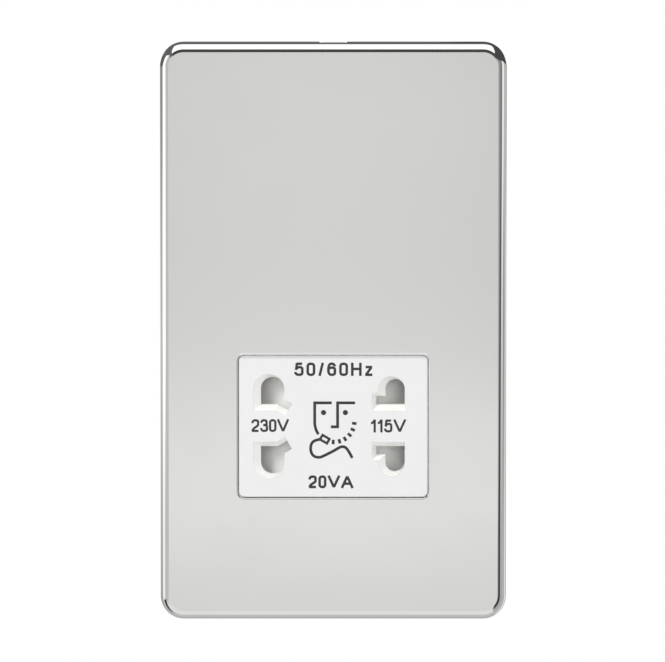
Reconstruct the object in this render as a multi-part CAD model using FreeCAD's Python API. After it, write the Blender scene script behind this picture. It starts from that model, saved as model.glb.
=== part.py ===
import FreeCAD, Part
import math
import os

# Dual-voltage shaver socket: a metal plate that clips over a moulded frame, and behind
# it the socket with its interlocking shutter and the isolating transformer.
# Millimetres. X is width, Y is depth, Z is up. The wall's face is the plane y = 0, the
# front looks along -Y, and the origin is midway between the two fixing holes.

# Cover plate
PLATE_W = 88.0
PLATE_H = 147.0
PLATE_DEPTH = 9.0
PLATE_WALL = 1.0
PLATE_CORNER_R = 5.9
PLATE_EDGE_R = 2.2
APERTURE_LIP_R = 0.3
PRISE_NOTCH_W = 7.0
PRISE_NOTCH_DEPTH = 5.0
PRISE_NOTCH_R = 1.2

# Liner that carries the plate's clips
LINER_FIT = 0.1
LINER_WALL = 1.2
LINER_FLANGE_W = 5.0
LINER_FLANGE_T = 1.0
LINER_BACK = 1.2
TONGUE_GAP = 0.4
TONGUE_BELOW = 0.1
TONGUE_BACK = 0.2
HOOK_REACH = 0.9
CATCH_REACH = 0.8
CLIP_GAP = 0.3
CLIP_LEN = 9.0
CLIP_ACROSS = (-22.0, 22.0)
CLIP_UP = (-45.0, 0.0, 45.0)

# Mounting frame
FIXING_INSET = 13.2
FIXING_HOLE_R = 2.1
FIXING_BOSS_R = 5.6
FIXING_BOSS_H = 5.0
FIXING_HEAD_R = 4.3
FRAME_BASE_T = 2.5
FRAME_RIM_T = 1.6
FRAME_CORNER_R = 3.6
FRAME_RIB_T = 1.2
FRAME_RIB_H = 2.2
FRAME_RIB_COLUMNS = 4
FRAME_RIB_ROWS = 3
SCREW_BOSS_R = 3.4
SCREW_BOSS_H = 6.0

# Socket insert
INSERT_W = 48.1
INSERT_H = 36.15
INSERT_CORNER_R = 1.5
INSERT_EDGE_R = 0.35
INSERT_GAP = 0.25
INSERT_Z = -24.1
INSERT_RECESS = 0.25
INSERT_FLANGE_T = 1.5
SOCKET_WALL = 1.7
SOCKET_CORNER_R = 1.5
CAVITY_CORNER_R = 0.5
SEAT_GAP = 0.3
HOLE_BOSS_WALL = 1.4
SNAP_X = 22.0
SNAP_W = 5.0
SNAP_T = 1.1
SNAP_NOSE = 0.5
SNAP_CLEAR = 0.3

# Plug apertures, placed from the middle of the insert
HOLE_Z = 9.4
HOLE_DROP = 4.07
LEAD_IN_DEPTH = 3.2
LEAD_IN_DROP = 1.34
HOLE_230_X = -15.42
HOLE_230_R = 3.0
LEAD_IN_230_R = 4.0
SLOT_230_W = 2.3
SLOT_230_TILT = 30.0
SLOT_230_REACH_X = 4.4
SLOT_230_REACH_Z = 4.56
HOLE_115_X = 15.76
HOLE_115_R = 2.45
LEAD_IN_115_R = 3.4
SLOT_115_W = 2.17
SLOT_115_REACH = 4.8
SLOT_115_LEAD_IN = 1.15

# Shutter
SHUTTER_AHEAD = 2.75
SHUTTER_T = 6.0
SHUTTER_FOOT_T = 0.8
SHUTTER_GAP = 0.3
SHUTTER_MARGIN = 0.5
SHUTTER_CORE_W = 14.0
SHUTTER_HALF_H = 18.0
SHUTTER_ARM_HALF_H = 15.8
SHUTTER_SLOT_H = 6.8
SHUTTER_END_GAP = 0.6
SHUTTER_EDGE_R = 0.6
SHUTTER_WALL = 1.6

# Shutter springs
SPRING_R = 1.45
SPRING_WIRE_R = 0.2
SPRING_TURNS = 6
SPRING_WIRE_SIDES = 4
PEG_R = 0.9
PEG_LEN = 1.5

# Contacts and their carrier
CARRIER_FLOOR_T = 2.5
CARRIER_DEPTH = 17.0
CONTACT_Z = 8.8
CONTACT_LEAF_W = 7.6
CONTACT_T = 0.5
CONTACT_PINCH = 0.5
CONTACT_MOUTH = 2.7
CONTACT_BELLY = 1.9
CONTACT_PINCH_AT = 0.38
CONTACT_BELLY_AT = 0.78
CONTACT_BEND_R = 0.8
POCKET_GAP = 0.3
POCKET_HALF_W = 3.4
POCKET_WALL = 1.6
CONTACT_PLATE_H = 3.6
TAIL_W = 2.6
TAIL_LEN = 3.0

# Transformer
CORE_W = 54.0
CORE_H = 45.0
CORE_LIMB = CORE_W / 6
CORE_STACK = 19.0
CORE_ABOVE_SOCKET = 7.1
CLAMP_T = 0.8
CLAMP_LIP = 3.0
CLAMP_TAB = 6.0
BOBBIN_WALL = 0.8
BOBBIN_FLANGE_T = 1.0
BOBBIN_FIT = 0.15
FLANGE_GAP = 0.25
FLANGE_PROUD = 0.8
TAPE_T = 0.2
TAPE_SHARE = 0.8
WINDING_CORNER_R = 3.0
COIL_FRONT_GAP = 2.0
CUTOUT_T = 4.0
CUTOUT_W = 6.0
CUTOUT_H = 8.0
CUTOUT_UP = 1.0
COIL_LEAD_BACK = 13.3

# Rear housing
HOUSING_WALL = 2.0
HOUSING_CORNER_R = 4.0
HOUSING_BACK_R = 2.0
HOUSING_SIDE_GAP = 1.1
HOUSING_TOP_GAP = 1.2
HOUSING_BACK_GAP = 1.6
STRAP_ROOM = 6.5
EAR_R = 4.2
EAR_T = 3.0
EAR_X = 22.0
POST_R = 3.0
POST_BORE_R = 1.5
POST_INSET = 1.5
RIB_T = 2.0
RIB_W = 1.8
VENT_W = 2.4
VENT_PITCH = 6.0
VENT_COUNT = 7
VENT_END_GAP = 7.0
SIDE_VENT_COUNT = 5
SIDE_VENT_PITCH = 7.5
SIDE_VENT_LEN = 20.0

# Terminals
TERMINAL_PITCH = 14.0
TERMINAL_W = 7.0
TERMINAL_D = 9.2
TERMINAL_H = 9.4
TERMINAL_GAP = 0.2
BLOCK_D = 14.0
BLOCK_FLOOR = 2.4
BLOCK_BACK = 2.8
BLOCK_ABOVE = 0.8
BLOCK_END = 3.8
BLOCK_SLOT_W = 1.6
WIRE_BORE_R = 1.9
WIRE_BORE_WALL = 1.4
WIRE_ENTRY_R = 3.2
TERMINAL_ROOF = 1.2
TERMINAL_SCREW_R = 1.7
TERMINAL_HEAD_R = 2.4
TERMINAL_HEAD_T = 2.0
THREAD_GAP = 0.05
DRIVER_GAP = 0.4
SCREW_SLOT_W = 0.7
SCREW_SLOT_DEPTH = 1.0
TAG_T = 0.8
TAG_W = 3.0
TAG_LEN = 3.5
TAG_DOWN = 2.0

# Housing screws
SCREW_R = 1.45
SCREW_HEAD_R = 2.8
SCREW_HEAD_T = 1.8
SCREW_LEN = 8.0

# Earth strap
STRAP_W = 5.0
STRAP_T = 0.5
STRAP_BEND_R = 1.1
STRAP_CLEAR = 1.2
STRAP_DROP = 3.4
STRAP_CONTACT_GAP = 0.05
STRAP_FINGER = 6.0
STRAP_SLOPE = 0.35

# Insulated leads
LEAD_R = 0.6
LEAD_SIDES = 8
LEAD_OUT = 3.2
LEAD_ARC_SHARE = 0.45
LIVE_START_UP = 7.0
MAINS_LEVEL_UP = 15.0
MAINS_DROP = 8.0
SECONDARY_START_DOWN = (9.0, 5.0, 7.0)
SECONDARY_LOW_SHARE = 0.6
COMMON_AHEAD = 3.2
COMMON_DROPS = (7.0, 10.0)
TAPPING_DROPS = (13.0, 26.0)

# Places that follow from the sizes above
face_y = -PLATE_DEPTH
plate_back_y = face_y + PLATE_WALL
plate_half_w = PLATE_W / 2 - PLATE_WALL
plate_half_h = PLATE_H / 2 - PLATE_WALL
liner_inner_w = plate_half_w - LINER_FIT - LINER_WALL
liner_inner_h = plate_half_h - LINER_FIT - LINER_WALL
frame_half_w = liner_inner_w - CATCH_REACH - CLIP_GAP
frame_half_h = liner_inner_h - CATCH_REACH - CLIP_GAP
rim_front_y = plate_back_y + LINER_FLANGE_T + CLIP_GAP
fixing_z = PLATE_H / 2 - FIXING_INSET
hook_front_y = -LINER_BACK - 2 * HOOK_REACH

insert_face_y = face_y + INSERT_RECESS
flange_front_y = plate_back_y + SEAT_GAP
flange_back_y = flange_front_y + INSERT_FLANGE_T
shutter_front_y = -SHUTTER_AHEAD
shutter_back_y = shutter_front_y + SHUTTER_T
insert_back_y = shutter_front_y - SHUTTER_GAP
floor_front_y = shutter_back_y + SHUTTER_GAP
floor_back_y = floor_front_y + CARRIER_FLOOR_T

ramp_foot_x = max(-HOLE_230_X + HOLE_230_R, HOLE_115_X + HOLE_115_R) + SHUTTER_MARGIN
ramp_top_x = min(-HOLE_230_X - SLOT_230_REACH_X, HOLE_115_X - SLOT_115_REACH) - SHUTTER_MARGIN - SLOT_230_W / 4
shutter_travel = ramp_foot_x - ramp_top_x
cavity_half_w = ramp_foot_x + shutter_travel + SHUTTER_END_GAP
cavity_half_h = SHUTTER_HALF_H + SHUTTER_GAP
socket_half_w = cavity_half_w + SOCKET_WALL
socket_half_h = cavity_half_h + SOCKET_WALL
spring_y = floor_front_y / 2
core_half_x = SHUTTER_CORE_W / 2
snap_nose_y = flange_back_y + 3 * SNAP_NOSE
tail_end_y = CARRIER_DEPTH + CONTACT_T + TAIL_LEN

core_bottom_z = INSERT_Z + socket_half_h + CORE_ABOVE_SOCKET
core_top_z = core_bottom_z + CORE_H
window_low_z = core_bottom_z + CORE_LIMB
window_high_z = core_top_z - CORE_LIMB
tube_half_x = CORE_LIMB + BOBBIN_FIT + BOBBIN_WALL
tube_half_y = CORE_STACK / 2 + BOBBIN_FIT + BOBBIN_WALL
flange_half_x = CORE_W / 2 - CORE_LIMB - FLANGE_GAP
wound_half_x = flange_half_x - FLANGE_PROUD
wound_half_y = tube_half_y + wound_half_x - tube_half_x
flange_half_y = wound_half_y + FLANGE_PROUD
core_y = COIL_FRONT_GAP + flange_half_y
core_front_y = core_y - CORE_STACK / 2
core_rear_y = core_y + CORE_STACK / 2

coil_middle_z = (window_low_z + window_high_z) / 2
secondary_span = (window_low_z + BOBBIN_FIT + BOBBIN_FLANGE_T, coil_middle_z - BOBBIN_FLANGE_T / 2)
primary_span = (coil_middle_z + BOBBIN_FLANGE_T / 2, window_high_z - BOBBIN_FIT - BOBBIN_FLANGE_T)
coil_lead_y = core_y + COIL_LEAD_BACK
cutout_low_z = primary_span[0] + CUTOUT_UP

bay_half_w = max(socket_half_w, CORE_W / 2 + CLAMP_T) + HOUSING_SIDE_GAP
bay_top_z = core_top_z + CLAMP_T + HOUSING_TOP_GAP
bay_bottom_z = INSERT_Z - socket_half_h - STRAP_ROOM
bay_back_y = core_y + flange_half_y + HOUSING_BACK_GAP
housing_back_y = bay_back_y + HOUSING_WALL
housing_half_w = bay_half_w + HOUSING_WALL
shelf_z = core_bottom_z - CORE_ABOVE_SOCKET / 2
ear_high_z = bay_top_z + HOUSING_WALL + EAR_R
ear_low_z = bay_bottom_z - HOUSING_WALL - EAR_R
post_x = CORE_W / 2 - POST_INSET
post_low_z = core_bottom_z + CORE_LIMB / 2
post_high_z = core_top_z - CORE_LIMB / 2

terminal_xs = (-TERMINAL_PITCH, 0.0, TERMINAL_PITCH)
block_front_y = bay_back_y - BLOCK_D
terminal_back_y = bay_back_y - BLOCK_BACK
terminal_front_y = terminal_back_y - TERMINAL_D
terminal_low_z = bay_bottom_z + BLOCK_FLOOR
terminal_high_z = terminal_low_z + TERMINAL_H
terminal_z = terminal_low_z + TERMINAL_H / 2
wire_y = terminal_front_y + WIRE_BORE_R + WIRE_BORE_WALL
tag_z = terminal_high_z - TAG_DOWN
tag_lead_y = block_front_y - LEAD_R - THREAD_GAP
strap_z = INSERT_Z - socket_half_h - STRAP_DROP


def vec(x, y, z):
    return FreeCAD.Vector(x, y, z)


def block(x0, x1, y0, y1, z0, z1):
    return Part.makeBox(x1 - x0, y1 - y0, z1 - z0, vec(x0, y0, z0))


def rod_x(y, z, radius, x0, x1):
    return Part.makeCylinder(radius, x1 - x0, vec(x0, y, z), vec(1, 0, 0))


def rod_y(x, z, radius, y0, y1):
    return Part.makeCylinder(radius, y1 - y0, vec(x, y0, z), vec(0, 1, 0))


def rod_z(x, y, radius, z0, z1):
    return Part.makeCylinder(radius, z1 - z0, vec(x, y, z0), vec(0, 0, 1))


def rounded_outline(half_a, half_b, radius, place):
    """A rectangle with rounded corners; place turns flat coordinates into a point."""
    a, b = half_a - radius, half_b - radius
    corner = radius * math.sqrt(0.5)
    edges = []
    for sa, sb in ((1, 1), (-1, 1), (-1, -1), (1, -1)):
        side = place(sa * half_a, sb * b)
        end = place(sa * a, sb * half_b)
        bulge = place(sa * (a + corner), sb * (b + corner))
        edges.append(Part.Arc(side, bulge, end).toShape())
    for sign in (1, -1):
        edges.append(Part.LineSegment(place(a, sign * half_b), place(-a, sign * half_b)).toShape())
        edges.append(Part.LineSegment(place(sign * half_a, b), place(sign * half_a, -b)).toShape())
    return Part.Wire(Part.__sortEdges__(edges))


def slab(half_w, half_h, radius, y0, y1, x=0.0, z=0.0):
    """A rounded rectangle seen from the front, from one depth to another."""
    outline = rounded_outline(half_w, half_h, radius, lambda a, b: vec(x + a, y0, z + b))
    return Part.Face(outline).extrude(vec(0, y1 - y0, 0))


def column(half_x, half_y, radius, z0, z1, y):
    """A rounded rectangle seen from above, from one height to another."""
    outline = rounded_outline(half_x, half_y, radius, lambda a, b: vec(a, y + b, z0))
    return Part.Face(outline).extrude(vec(0, 0, z1 - z0))


def polygon_solid(corners, along):
    return Part.Face(Part.makePolygon(corners + corners[:1])).extrude(along)


def edges_at_y(shape, y):
    return [e for e in shape.Edges if all(abs(v.Point.y - y) < 1e-4 for v in e.Vertexes)]


def round_at_y(shape, y, radius):
    return shape.makeFillet(radius, edges_at_y(shape, y))


def one_solid(shape):
    return shape.Solids[0] if len(shape.Solids) == 1 else shape


def fuse(first, others):
    return one_solid(first.fuse(others).removeSplitter())


def cut(shape, tools):
    return one_solid(shape.cut(tools))


def tangent_path(points, radii):
    """Straight runs joined by tangent arcs."""
    edges, start = [], points[0]
    for before, corner, after, radius in zip(points, points[1:], points[2:], radii):
        come = (corner - before).normalize()
        go = (after - corner).normalize()
        half_turn = come.getAngle(go) / 2
        reach = radius * math.tan(half_turn)
        first = corner - come * reach
        last = corner + go * reach
        inward = (go - come).normalize()
        middle = corner + inward * (radius / math.cos(half_turn) - radius)
        edges.append(Part.LineSegment(start, first).toShape())
        edges.append(Part.Arc(first, middle, last).toShape())
        start = last
    edges.append(Part.LineSegment(start, points[-1]).toShape())
    return edges


def shifted_corners(points, normal, distance):
    """The corners of the same bent line, a distance to its left."""
    lefts = [normal.cross(b - a).normalize() for a, b in zip(points, points[1:])]
    corners = [points[0] + lefts[0] * distance]
    for point, before, after in zip(points[1:], lefts, lefts[1:]):
        corners.append(point + (before + after) * (distance / (1 + before.dot(after))))
    return corners + [points[-1] + lefts[-1] * distance]


def bent_strip(points, bend_r, thickness, width):
    """Sheet metal bent along a flat line of corners, and as wide as the width vector."""
    normal = FreeCAD.Vector(width).normalize()
    sides = []
    for offset in (thickness / 2, -thickness / 2):
        radii = []
        for a, b, c in zip(points, points[1:], points[2:]):
            turn = math.copysign(1, normal.dot((b - a).cross(c - b)))
            radii.append(bend_r - turn * offset)
        sides.append(tangent_path(shifted_corners(points, normal, offset), radii))
    left, right = (Part.Wire(side).OrderedVertexes for side in sides)
    caps = [Part.LineSegment(left[i].Point, right[i].Point).toShape() for i in (0, -1)]
    outline = Part.Wire(Part.__sortEdges__(sides[0] + sides[1] + caps))
    return Part.Face(outline).extrude(width)


def ring_of_corners(sides, radius, centre, along):
    """A regular polygon across a direction."""
    aside = along.cross(vec(0, 0, 1) if abs(along.z) < 0.9 else vec(1, 0, 0)).normalize()
    other = along.cross(aside).normalize()
    corners = []
    for i in range(sides + 1):
        angle = 2 * math.pi * (i + 0.5) / sides
        corners.append(centre + aside * (radius * math.cos(angle)) + other * (radius * math.sin(angle)))
    return Part.makePolygon(corners)


def lead(points):
    """Insulated wire along straight runs and the largest tangent arcs that they allow."""
    radii = []
    for a, b, c in zip(points, points[1:], points[2:]):
        half_turn = (b - a).getAngle(c - b) / 2
        shorter = min((b - a).Length, (c - b).Length)
        radii.append(LEAD_ARC_SHARE * shorter / math.tan(half_turn))
    path = Part.Wire(tangent_path(points, radii))
    section = ring_of_corners(LEAD_SIDES, LEAD_R, points[0], (points[1] - points[0]).normalize())
    tube = one_solid(path.makePipeShell([section], True, False))
    area = LEAD_SIDES / 2 * math.sin(2 * math.pi / LEAD_SIDES) * LEAD_R ** 2
    share = tube.Volume / (area * path.Length)
    print("lead radii", [round(r, 1) for r in radii], "volume share", round(share, 4))
    return tube


def rim_wedges(profile, half_w, half_h):
    """Short wedges along the four sides of a rim, from a profile of reach and depth."""
    wedges = []
    for angle, half, places in (
        (0, half_h, CLIP_ACROSS), (90, half_w, CLIP_UP), (180, half_h, CLIP_ACROSS), (270, half_w, CLIP_UP)
    ):
        for place in places:
            corners = [vec(place - CLIP_LEN / 2, y, half + reach) for reach, y in profile]
            wedge = polygon_solid(corners, vec(CLIP_LEN, 0, 0))
            wedge.rotate(vec(0, 0, 0), vec(0, 1, 0), angle)
            wedges.append(wedge)
    return wedges


def cover_plate():
    """A pressed metal cap with the insert's window and a notch on top to prise it off by."""
    outer = slab(PLATE_W / 2, PLATE_H / 2, PLATE_CORNER_R, face_y, 0)
    outer = round_at_y(outer, face_y, PLATE_EDGE_R)
    inner = slab(plate_half_w, plate_half_h, PLATE_CORNER_R - PLATE_WALL, plate_back_y, 1)
    inner = round_at_y(inner, plate_back_y, PLATE_EDGE_R - PLATE_WALL)
    window_w = INSERT_W / 2 + INSERT_GAP
    window_h = INSERT_H / 2 + INSERT_GAP
    window = slab(window_w, window_h, INSERT_CORNER_R + INSERT_GAP, face_y - 1, 0, z=INSERT_Z)
    notch = column(PRISE_NOTCH_W / 2, PRISE_NOTCH_DEPTH, PRISE_NOTCH_R, plate_half_h - 1, PLATE_H / 2 + 1, 0)
    plate = cut(outer, [inner, window, notch])
    lip = [e for e in edges_at_y(plate, face_y) if e.BoundBox.ZMax < 0 and e.BoundBox.ZMin > -fixing_z]
    return plate.makeFillet(APERTURE_LIP_R, lip)


def clip_frame():
    """The liner bonded inside the plate, with its hooks and the tongue in the plate's notch."""
    half_w = plate_half_w - LINER_FIT
    half_h = plate_half_h - LINER_FIT
    corner = PLATE_CORNER_R - PLATE_WALL - LINER_FIT
    outer = slab(half_w, half_h, corner, plate_back_y, -LINER_BACK)
    outer = round_at_y(outer, plate_back_y, PLATE_EDGE_R - PLATE_WALL + 2 * LINER_FIT)
    hollow = slab(liner_inner_w, liner_inner_h, corner - LINER_WALL, plate_back_y + LINER_FLANGE_T, 1)
    opening = slab(half_w - LINER_FLANGE_W, half_h - LINER_FLANGE_W, corner, plate_back_y - 1, 1)
    ring = cut(outer, [hollow, opening])
    root = LINER_WALL / 2
    hook = [
        (root, hook_front_y), (-HOOK_REACH, hook_front_y),
        (-HOOK_REACH, hook_front_y + HOOK_REACH / 2), (root, -LINER_BACK),
    ]
    tongue_half = PRISE_NOTCH_W / 2 - TONGUE_GAP
    tongue = block(
        -tongue_half, tongue_half, TONGUE_GAP - PRISE_NOTCH_DEPTH, -TONGUE_BACK,
        liner_inner_h + root, PLATE_H / 2 - TONGUE_BELOW,
    )
    return fuse(ring, rim_wedges(hook, liner_inner_w, liner_inner_h) + [tongue])


def frame_ribs():
    low = INSERT_Z + socket_half_h
    high = ear_high_z - EAR_R
    inside = frame_half_w - FRAME_RIM_T / 2
    front, back = -FRAME_BASE_T - FRAME_RIB_H, -FRAME_BASE_T / 2
    half = FRAME_RIB_T / 2
    ribs = []
    for i in range(FRAME_RIB_COLUMNS):
        x = -inside + (i + 1) * 2 * inside / (FRAME_RIB_COLUMNS + 1)
        ribs.append(block(x - half, x + half, front, back, low - half, high + half))
    for i in range(FRAME_RIB_ROWS):
        z = low + (i + 1) * (high - low) / FRAME_RIB_ROWS
        ribs.append(block(-inside, inside, front, back, z - half, z + half))
    return ribs


def mounting_frame():
    """The moulding screwed to the wall box: it takes the insert, the housing and the plate."""
    body = slab(frame_half_w, frame_half_h, FRAME_CORNER_R, rim_front_y, 0)
    tray = slab(
        frame_half_w - FRAME_RIM_T, frame_half_h - FRAME_RIM_T, FRAME_CORNER_R - FRAME_RIM_T,
        rim_front_y - 1, -FRAME_BASE_T,
    )
    body = cut(body, [tray])
    catch_back_y = hook_front_y - CLIP_GAP / 2
    root = -FRAME_RIM_T / 2
    catch = [
        (root, catch_back_y), (CATCH_REACH, catch_back_y),
        (CATCH_REACH, catch_back_y - CATCH_REACH / 2), (root, catch_back_y - 2 * CATCH_REACH),
    ]
    added = rim_wedges(catch, frame_half_w, frame_half_h) + frame_ribs()
    added.append(slab(socket_half_w, socket_half_h, SOCKET_CORNER_R, flange_back_y, 0, z=INSERT_Z))
    base_middle = -FRAME_BASE_T / 2
    for z in (fixing_z, -fixing_z):
        added.append(rod_y(0, z, FIXING_BOSS_R, -FIXING_BOSS_H, base_middle))
    for x in (EAR_X, -EAR_X):
        for z in (ear_high_z, ear_low_z):
            added.append(rod_y(x, z, SCREW_BOSS_R, -SCREW_BOSS_H, base_middle))
    for x in (post_x, -post_x):
        for z in (post_low_z, post_high_z):
            added.append(rod_y(x, z, POST_R, base_middle, core_front_y - CLAMP_T))
    body = fuse(body, added)
    removed = [slab(cavity_half_w, cavity_half_h, CAVITY_CORNER_R, rim_front_y - 1, 1, z=INSERT_Z)]
    for z in (fixing_z, -fixing_z):
        removed.append(rod_y(0, z, FIXING_HOLE_R, rim_front_y, 1))
        removed.append(rod_y(0, z, FIXING_HEAD_R, rim_front_y, -FRAME_BASE_T))
    for x in (EAR_X, -EAR_X):
        for z in (ear_high_z, ear_low_z):
            removed.append(rod_y(x, z, SCREW_R + THREAD_GAP, EAR_T - SCREW_LEN - 2 * THREAD_GAP, 1))
    for x in (post_x, -post_x):
        for z in (post_low_z, post_high_z):
            removed.append(rod_y(x, z, POST_BORE_R, 0, core_front_y))
    strap_half = STRAP_W / 2 + STRAP_CLEAR
    strap_low, strap_high = strap_z - STRAP_CLEAR, strap_z + STRAP_CLEAR
    removed.append(block(-strap_half, strap_half, -FRAME_BASE_T - 1, 1, strap_low, strap_high))
    removed += snap_notches()
    return cut(body, removed)


def snap_notches():
    notches = []
    half_w = SNAP_W / 2 + SNAP_CLEAR
    for x in (SNAP_X, -SNAP_X):
        for side in (1, -1):
            near = INSERT_Z + side * (cavity_half_h - SNAP_CLEAR)
            far = INSERT_Z + side * (cavity_half_h + SNAP_NOSE + SNAP_CLEAR)
            low, high = sorted((near, far))
            front = snap_nose_y - SNAP_CLEAR / 2
            notches.append(block(x - half_w, x + half_w, front, insert_back_y + 1, low, high))
    return notches


def d_outline(x, z, radius, drop, y, side):
    """A round-topped opening with a flat foot. Side is 1 for the upper row, -1 below."""
    left, right = vec(x - radius, y, z), vec(x + radius, y, z)
    top = vec(x, y, z + side * radius)
    low_left, low_right = left - vec(0, 0, side * drop), right - vec(0, 0, side * drop)
    return Part.Wire([
        Part.Arc(left, top, right).toShape(),
        Part.LineSegment(right, low_right).toShape(),
        Part.LineSegment(low_right, low_left).toShape(),
        Part.LineSegment(low_left, left).toShape(),
    ])


def slot_230_corners(row, y, lead_in, grow=0.0):
    """The tilted blade slot, from inside the round part out to its tip."""
    tilt = math.radians(SLOT_230_TILT)
    along = vec(math.cos(tilt), 0, -math.sin(tilt))
    across = vec(math.sin(tilt), 0, math.cos(tilt))
    tip = vec(HOLE_230_X + SLOT_230_REACH_X, y, HOLE_Z - SLOT_230_REACH_Z) + along * grow
    root = tip - along * (SLOT_230_REACH_X / math.cos(tilt) + grow)
    up = across * (SLOT_230_W / 2 + grow)
    down = across * -(SLOT_230_W / 2 + grow + lead_in)
    return [vec(p.x, p.y, INSERT_Z + row * p.z) for p in (root + up, tip + up, tip + down, root + down)]


def slot_115_corners(row, y, lead_in, lead_in_drop, grow=0.0):
    """The level blade slot beside the round part."""
    left = HOLE_115_X - SLOT_115_REACH - lead_in - grow
    low = HOLE_Z - HOLE_DROP - lead_in_drop - grow
    high = HOLE_Z - HOLE_DROP + SLOT_115_W + lead_in + grow
    corners = ((left, high), (HOLE_115_X, high), (HOLE_115_X, low), (left, low))
    return [vec(x, y, INSERT_Z + row * z) for x, z in corners]


def through_holes(y0, y1, grow=0.0):
    """The four plug apertures as straight solids, all of them a little larger by grow."""
    along = vec(0, y1 - y0, 0)
    solids = []
    for row in (1, -1):
        z = INSERT_Z + row * HOLE_Z
        for x, radius in ((HOLE_230_X, HOLE_230_R), (HOLE_115_X, HOLE_115_R)):
            outline = d_outline(x, z, radius + grow, HOLE_DROP + grow, y0, row)
            solids.append(Part.Face(outline).extrude(along))
        solids.append(polygon_solid(slot_230_corners(row, y0, 0, grow), along))
        solids.append(polygon_solid(slot_115_corners(row, y0, 0, 0, grow), along))
    return solids


def lead_ins():
    """Tapered mouths: wide on the left, none on the right, as the rims are eccentric."""
    front, back = insert_face_y, insert_face_y + LEAD_IN_DEPTH
    solids = []
    for row in (1, -1):
        z = INSERT_Z + row * HOLE_Z
        for x, radius, mouth in (
            (HOLE_230_X, HOLE_230_R, LEAD_IN_230_R), (HOLE_115_X, HOLE_115_R, LEAD_IN_115_R)
        ):
            mouth_x = x + radius - mouth
            wide = d_outline(mouth_x, z, mouth, HOLE_DROP + LEAD_IN_DROP, front, row)
            narrow = d_outline(x, z, radius, HOLE_DROP, back, row)
            solids.append(Part.makeLoft([wide, narrow], True, True))
        tilted = [slot_230_corners(row, front, LEAD_IN_DROP), slot_230_corners(row, back, 0)]
        level = [
            slot_115_corners(row, front, SLOT_115_LEAD_IN, LEAD_IN_DROP), slot_115_corners(row, back, 0, 0)
        ]
        for wide, narrow in (tilted, level):
            wires = [Part.makePolygon(corners + corners[:1]) for corners in (wide, narrow)]
            solids.append(Part.makeLoft(wires, True, True))
    return solids


def socket_insert():
    """The white face with its four plug apertures, on a flange that the plate holds down."""
    body = slab(INSERT_W / 2, INSERT_H / 2, INSERT_CORNER_R, insert_face_y, flange_back_y, z=INSERT_Z)
    body = round_at_y(body, insert_face_y, INSERT_EDGE_R)
    added = [slab(socket_half_w, socket_half_h, SOCKET_CORNER_R, flange_front_y, flange_back_y, z=INSERT_Z)]
    inward = -HOLE_230_X - SLOT_230_REACH_X - SLOT_230_W / 4 - HOLE_BOSS_WALL
    outward = ramp_foot_x - SHUTTER_MARGIN + HOLE_BOSS_WALL
    low = HOLE_Z - HOLE_DROP - HOLE_BOSS_WALL - LEAD_IN_DROP / 2
    high = HOLE_Z + HOLE_230_R + HOLE_BOSS_WALL
    for side in (1, -1):
        for row in (1, -1):
            x, z = side * (inward + outward) / 2, INSERT_Z + row * (low + high) / 2
            half_w, half_h = (outward - inward) / 2, (high - low) / 2
            added.append(slab(half_w, half_h, HOLE_BOSS_WALL, flange_back_y, insert_back_y, x, z))
        near = core_half_x + shutter_travel + SHUTTER_END_GAP
        far = cavity_half_w - SHUTTER_GAP
        x0, x1 = sorted((side * near, side * far))
        added.append(block(x0, x1, flange_back_y, -SHUTTER_GAP, INSERT_Z - SPRING_R, INSERT_Z + SPRING_R))
    added += snap_legs()
    body = fuse(body, added)
    return cut(body, through_holes(insert_face_y - 1, insert_back_y + 1) + lead_ins())


def snap_legs():
    """Four short legs whose noses catch in the frame's socket wall."""
    legs = []
    outer = cavity_half_h - SHUTTER_GAP
    for x in (SNAP_X, -SNAP_X):
        for side in (1, -1):
            corners = [
                (outer, flange_back_y), (outer, snap_nose_y), (cavity_half_h + SNAP_NOSE, snap_nose_y),
                (outer, snap_nose_y + 2 * SNAP_NOSE), (outer - SNAP_T, snap_nose_y + 2 * SNAP_NOSE),
                (outer - SNAP_T, flange_back_y),
            ]
            points = [vec(x - SNAP_W / 2, y, INSERT_Z + side * z) for z, y in corners]
            legs.append(polygon_solid(points, vec(SNAP_W, 0, 0)))
    return legs


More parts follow.
